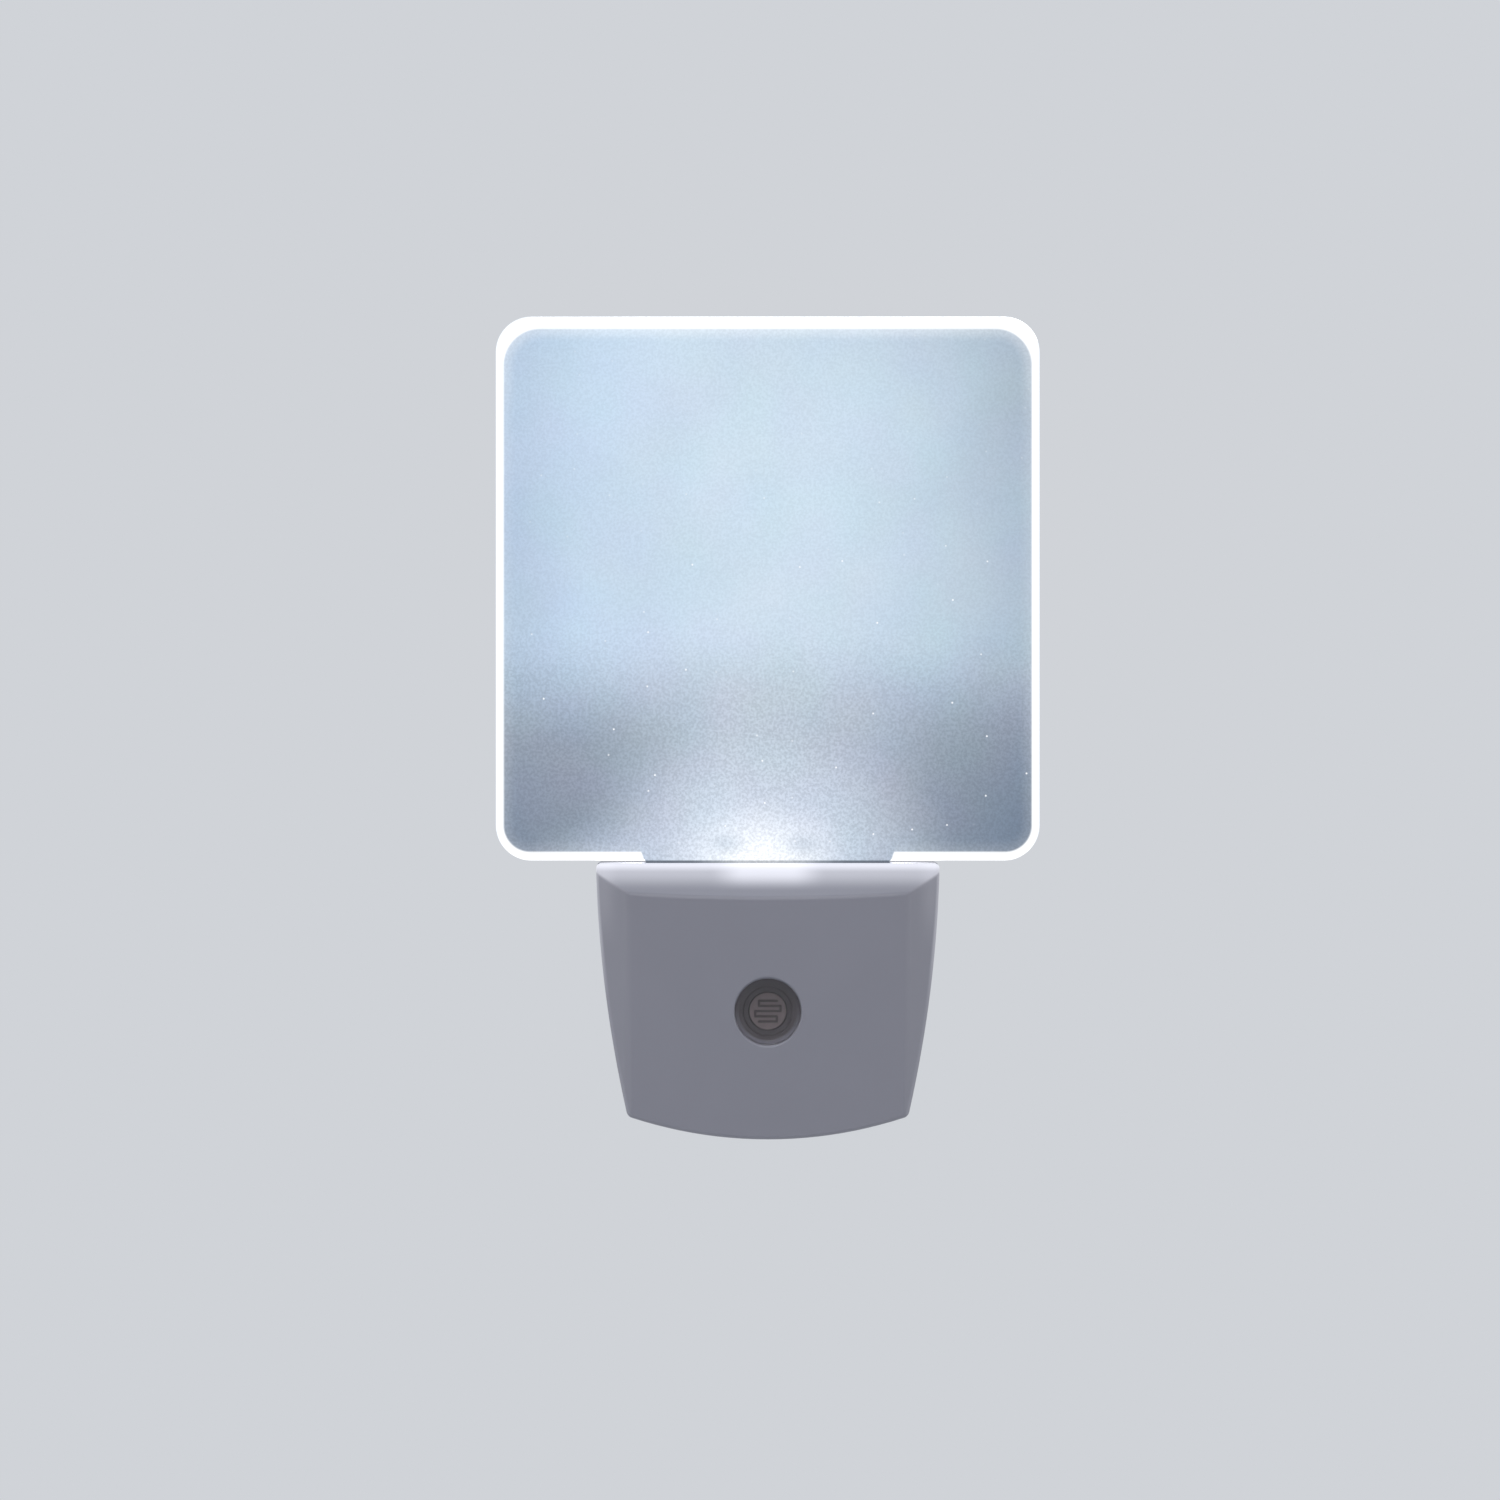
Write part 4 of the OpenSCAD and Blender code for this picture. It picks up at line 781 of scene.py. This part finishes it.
tinned = metal("tinned_copper_wire", "#C9C7C2", 0.3, streak_mm=0.2, stretch=(1, 0.15, 1))
finish_node("photocell_leads", tinned)

# ---- plug pins and their sleeves ----
# Turned brass pins, nickel plated, that lean slightly towards each other, with a thin black
# insulating sleeve moulded on the half next to the plug.

PIN_LEN, TIP_PITCH = 19 * MM, 17.5 * MM
PIN_LEAN = math.atan((PIN_PITCH - TIP_PITCH) / 2 / PIN_LEN)
PIN_R, CORE_R, SLEEVE_R, DOME_R = 2 * MM, 1.4 * MM, 1.8 * MM, 1.3 * MM
SLEEVE_END, PIN_TAIL = 10 * MM, -8.12 * MM
FLANGE_R, FLANGE_START, FLANGE_END = 3 * MM, -3.1 * MM, -4.3 * MM
SLEEVE_GAP = 0.02 * MM

dome = [(PIN_R - DOME_R + DOME_R * math.cos(a), PIN_LEN - DOME_R + DOME_R * math.sin(a))
        for a in (math.radians(step * 9) for step in range(11))]
pin_profile = [
    (0, PIN_TAIL), (CORE_R - 0.1 * MM, PIN_TAIL), (CORE_R, PIN_TAIL + 0.1 * MM),
    (CORE_R, FLANGE_END), (FLANGE_R, FLANGE_END), (FLANGE_R, FLANGE_START),
    (CORE_R, FLANGE_START), (CORE_R, SLEEVE_END), (PIN_R - 0.12 * MM, SLEEVE_END + SLEEVE_GAP),
    (PIN_R, SLEEVE_END + 0.14 * MM), *dome, (0, PIN_LEN)]
sleeve_profile = [
    (CORE_R + SLEEVE_GAP, FLANGE_START + SLEEVE_GAP), (SLEEVE_R, FLANGE_START + SLEEVE_GAP),
    (SLEEVE_R, SLEEVE_END - 0.3 * MM), (SLEEVE_R - 0.08 * MM, SLEEVE_END - 0.08 * MM),
    (SLEEVE_R - 0.2 * MM, SLEEVE_END), (CORE_R + SLEEVE_GAP, SLEEVE_END),
    (CORE_R + SLEEVE_GAP, FLANGE_START + SLEEVE_GAP)]

# Nickel plate over turned brass: bright, with fine rings round the pin from the lathe. Black
# sleeve: a satin plastic that scuffs grey.
for side, name in ((-1, "left"), (1, "right")):
    nickel = metal(f"nickel_plated_brass_{name}", "#CFCBC2", 0.2, streak_mm=0.12,
                   stretch=(0.3, 2.5, 0.3), depth_mm=0.003,
                   centre=(side * PIN_PITCH / 2 / MM, 0, 0), turn=(0, 0, -side * PIN_LEAN))
    sleeve_black = moulded(f"moulded_black_sleeve_{name}", "#2B2B2E", 0.36, grain_mm=0.3,
                           drift=0.1, drift_mm=4, IOR=1.53)
    for label, profile, finish, slot in (
            ("pin", pin_profile, nickel, "nickel_brass"),
            ("pin_sleeve", sleeve_profile, sleeve_black, "sleeve_black")):
        shape = spin_shape(profile, 64)
        bmesh.ops.rotate(shape, verts=shape.verts[:], cent=(0, 0, 0),
                         matrix=Matrix.Rotation(side * PIN_LEAN, 3, "Z"))
        bmesh.ops.translate(shape, verts=shape.verts[:], vec=(side * PIN_PITCH / 2, 0, 0))
        piece = make_piece(f"turned_{label}_{name}", shape, finish)
        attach(piece, "root")
        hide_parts(f"{label}_{name}")

# ---- pin retainer and mains wires ----
# A natural nylon plate holds the pins' flanges in the boss. A brown and a blue wire, PVC over
# tinned copper, run from the pins' tails to the main board.

# Nylon: milky, a little light goes into it. PVC: satin, even, with hardly any grain
finish_node("pin_retainer", moulded("moulded_natural_nylon", "#E4DFCF", 0.4, grain_mm=0.4,
                                    IOR=1.53, Subsurface_Weight=0.2, Subsurface_Scale=0.5 * MM))
finish_node("live_wire", moulded("extruded_brown_pvc", "#5B3A26", 0.42, grain_mm=0.5, drift=0.05))
finish_node("neutral_wire", moulded("extruded_blue_pvc", "#2C5FA8", 0.42, grain_mm=0.5,
                                    drift=0.05))
finish_node("wire_cores", tinned)

# ---- main board ----
# Glass-epoxy laminate with green solder mask: the glass weave prints through the mask, and the
# copper tracks stand just under it as lighter lines.

MASK, MASK_LIGHTER, OVER_COPPER = "#1F6B3A", "#247845", "#3B935B"
TRACK_MM, TRACK_RUN_MM, TRACK_PITCH_MM = 0.3, 5.2, 2.6

fr4, tree, shader, at_mm = start_finish("solder_masked_glass_epoxy", MASK, 0.3, IOR=1.55)
weave_x, weave_z = (
    add(tree, "TexWave", {"Vector": at_mm, "Scale": 0.6, "Distortion": 0.4}, out=1,
        bands_direction=way) for way in "XZ")
weave = add(tree, "Math", weave_x, weave_z, operation="ADD")
on_board = add(tree, "Mapping", {"Vector": at_mm, "Rotation": (math.pi / 2, 0, 0)})
tracks = add(tree, "TexBrick", {
    "Vector": on_board, "Scale": 1.0, "Color1": linear(MASK), "Color2": linear(MASK_LIGHTER),
    "Mortar": linear(OVER_COPPER), "Mortar Size": TRACK_MM, "Mortar Smooth": 0.1,
    "Brick Width": TRACK_RUN_MM, "Row Height": TRACK_PITCH_MM})
tree.links.new(tracks, shader.inputs["Base Color"])
tree.links.new(add(tree, "Bump", {"Height": weave, "Distance": 0.01 * MM, "Strength": 0.5}),
               shader.inputs["Normal"])
finish_node("main_board", fr4)

# ---- mains dropper and smoothing capacitors ----
# A film capacitor in a yellow box, and an electrolytic one: an aluminium can in a shrunk navy
# sleeve, closed by a rubber bung.

# Moulded box: satin yellow. Drawn can: streaked along its length. Shrunk sleeve: glossy with
# shallow waves. Rubber: matt black
finish_node("film_capacitor", moulded("moulded_yellow_capacitor_box", "#D9A520", 0.34,
                                      grain_mm=0.3, drift=0.04, drift_mm=5))
finish_node("electrolytic_can", metal("drawn_aluminium_can", "#C8CACC", 0.28, stretch=(1, 0.2, 1)))
finish_node("electrolytic_sleeve", moulded("shrunk_navy_sleeve", "#1B2A55", 0.25, grain_mm=1.2,
                                           depth_mm=0.02, drift=0.05, drift_mm=3))
finish_node("electrolytic_bung", moulded("pressed_black_rubber", "#242424", 0.7, grain_mm=0.2,
                                         drift=0.1))

# ---- small components ----
# A bridge rectifier, a transistor and chip resistors in black epoxy; two axial resistors in
# painted bodies and a glass diode, with their colour bands; tinned leads and solder cones.

# Black epoxy is dull and even. Lacquer is glossy with a fine orange peel. Solder shines, with
# soft flow marks
BLACK, RED, BROWN = "#1A1A1A", "#8B1A1A", "#6B3A1E"
BAND_HALF_MM, BAND_SOLID_MM = 0.3, 0.24

black_epoxy = moulded("moulded_black_epoxy", "#26262A", 0.48, grain_mm=0.15, drift=0.12,
                      drift_mm=2)
for node in ("bridge_rectifier", "transistor", "chip_resistors"):
    finish_node(node, black_epoxy)


def banded(node, name, colour, roughness, bands):
    """A painted axial body with coloured rings; bands gives (place from the middle in mm,
    colour)."""
    low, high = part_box(node)
    finish, tree, shader, at_mm = start_finish(name, colour, roughness,
                                               centre=tuple((low + high) / 2 / MM))
    along = add(tree, "SeparateXYZ", at_mm)
    paint = linear(colour)
    for place, band in bands:
        far = add(tree, "Math", along, place, operation="SUBTRACT")
        far = add(tree, "Math", far, operation="ABSOLUTE")
        near = add(tree, "MapRange", far, BAND_HALF_MM, BAND_SOLID_MM)
        paint = add(tree, "Mix", {0: near, 6: paint, 7: linear(band)}, **IN_COLOUR)
    tree.links.new(paint, shader.inputs["Base Color"])
    orange_peel = add(tree, "TexNoise", {"Vector": at_mm, "Scale": 2.0, "Detail": 1.0})
    tree.links.new(add(tree, "Bump", {"Height": orange_peel, "Distance": 0.03 * MM}),
                   shader.inputs["Normal"])
    finish_node(node, finish)


banded("bleed_resistor", "lacquered_blue_resistor", "#5E8FBF", 0.35,
       ((-2.3, BROWN), (-1.2, BLACK), (-0.4, BLACK), (0.4, "#D9A520"), (2.2, BROWN)))
banded("fusible_resistor", "lacquered_green_resistor", "#7C9C7A", 0.4,
       ((-3.0, RED), (-1.6, RED), (-0.2, BLACK), (2.8, "#C9A227")))
banded("zener_diode", "sealed_diode_glass", "#C4683A", 0.12, ((-1.4, "#161616"),))
finish_node("component_leads", tinned)
finish_node("solder_joints", metal("flowed_tin_solder", "#BFC1C4", 0.24, streak_mm=0.5,
                                   depth_mm=0.01))

# ---- LED board ----
# A white-masked aluminium strip with two white LEDs that face up into the panel's tongue: a
# moulded white cup filled with yellow phosphor, joined to the main board by two soft wires.

# White solder mask and the moulded cups are satin; the phosphor is lit, with a faint mottle
finish_node("led_board", moulded("white_masked_aluminium_board", "#E9EBEC", 0.3, grain_mm=0.4))
finish_node("led_bodies", moulded("moulded_white_led_cup", "#F0EFEA", 0.35, grain_mm=0.15))
phosphor, tree, shader, at_mm = start_finish("cast_yellow_phosphor", "#E8D27A", 0.3,
                                             Emission_Strength=2.0)
hot = add(tree, "TexNoise", {"Vector": at_mm, "Scale": 3.0, "Detail": 2.0})
tree.links.new(add(tree, "Mix", {0: hot, 6: linear("#F4F8FF"), 7: WHITE_GLOW}, **IN_COLOUR),
               shader.inputs["Emission Color"])
finish_node("led_phosphors", phosphor)
finish_node("led_wire_plus", moulded("extruded_red_pvc", "#B3261E", 0.42, grain_mm=0.5,
                                     drift=0.05))
finish_node("led_wire_minus", moulded("extruded_black_pvc", "#232326", 0.42, grain_mm=0.5,
                                      drift=0.08))

# ---- floor, backdrop, lamps and camera ----
# A pale floor well below the light, which hangs as it does in its socket, a pale backdrop, soft
# studio lamps and a long lens straight in front.

BACKDROP, ROOM_LIGHT = "#D0D3D8", 0.36
FLOOR_Z, FLOOR_R = -0.7, 6.0
FADE_START, FADE_END = 0.35, 1.4
AIM = Vector((0, -0.03, 0.035))

floor_shape = bmesh.new()
bmesh.ops.create_circle(floor_shape, cap_ends=True, segments=96, radius=FLOOR_R,
                        matrix=Matrix.Translation((0, 0, FLOOR_Z)))

# Matt paint: the floor takes the light's shadow, and turns into the plain backdrop further out
floor_paint, tree, shader, at_mm = start_finish("matt_floor_paint", BACKDROP, 0.85)
spread = add(tree, "VectorMath", at_mm, (MM, MM, 0), operation="MULTIPLY")
far = add(tree, "VectorMath", spread, operation="LENGTH", out="Value")
fade = add(tree, "MapRange", far, FADE_START, FADE_END, **SOFT)
distant = add(tree, "Emission", {"Color": linear(BACKDROP), "Strength": 1.0})
tree.links.new(add(tree, "MixShader", fade, shader.outputs[0], distant),
               tree.nodes["Material Output"].inputs["Surface"])
floor = make_piece("studio_floor", floor_shape, floor_paint)

world = bpy.data.worlds.new("studio_backdrop")
world.use_nodes = True
tree = world.node_tree
rays = add(tree, "LightPath", out=None)
shown = add(tree, "Math", rays["Is Camera Ray"], rays["Is Glossy Ray"], operation="MAXIMUM")
shown = add(tree, "Math", shown, rays["Is Transmission Ray"], operation="MAXIMUM")
room = add(tree, "Background", {"Color": linear("#FFFFFF"), "Strength": ROOM_LIGHT})
seen = add(tree, "Background", {"Color": linear(BACKDROP), "Strength": 1.0})
tree.links.new(add(tree, "MixShader", shown, room, seen),
               tree.nodes["World Output"].inputs["Surface"])
bpy.context.scene.world = world

for name, place, size, power in (
        ("key_lamp", (-0.1, -0.75, 1.05), 0.7, 7.4),
        ("left_lamp", (-1.05, -0.5, 0.25), 0.8, 4.6),
        ("right_lamp", (1.05, -0.5, 0.25), 0.8, 4.4),
        ("rear_lamp", (0.35, 1.1, 0.7), 0.9, 7.0)):
    lamp = bpy.data.lights.new(name, "AREA")
    lamp.shape, lamp.size, lamp.energy = "DISK", size, power
    holder = bpy.data.objects.new(name, lamp)
    holder.location = place
    holder.rotation_euler = (AIM - Vector(place)).to_track_quat("-Z", "Y").to_euler()
    bpy.context.scene.collection.objects.link(holder)

lens = bpy.data.cameras.new("front_camera")
lens.lens, lens.sensor_width, lens.sensor_fit = 155.1, 36.0, "HORIZONTAL"
lens.clip_start, lens.clip_end = 0.05, 50.0
camera = bpy.data.objects.new("front_camera", lens)
camera.location = (-0.0025, -0.9455, 0.034)
camera.rotation_euler = (math.pi / 2, 0, 0)
bpy.context.scene.collection.objects.link(camera)
bpy.context.scene.camera = camera
bpy.context.scene.view_settings.view_transform = "Standard"
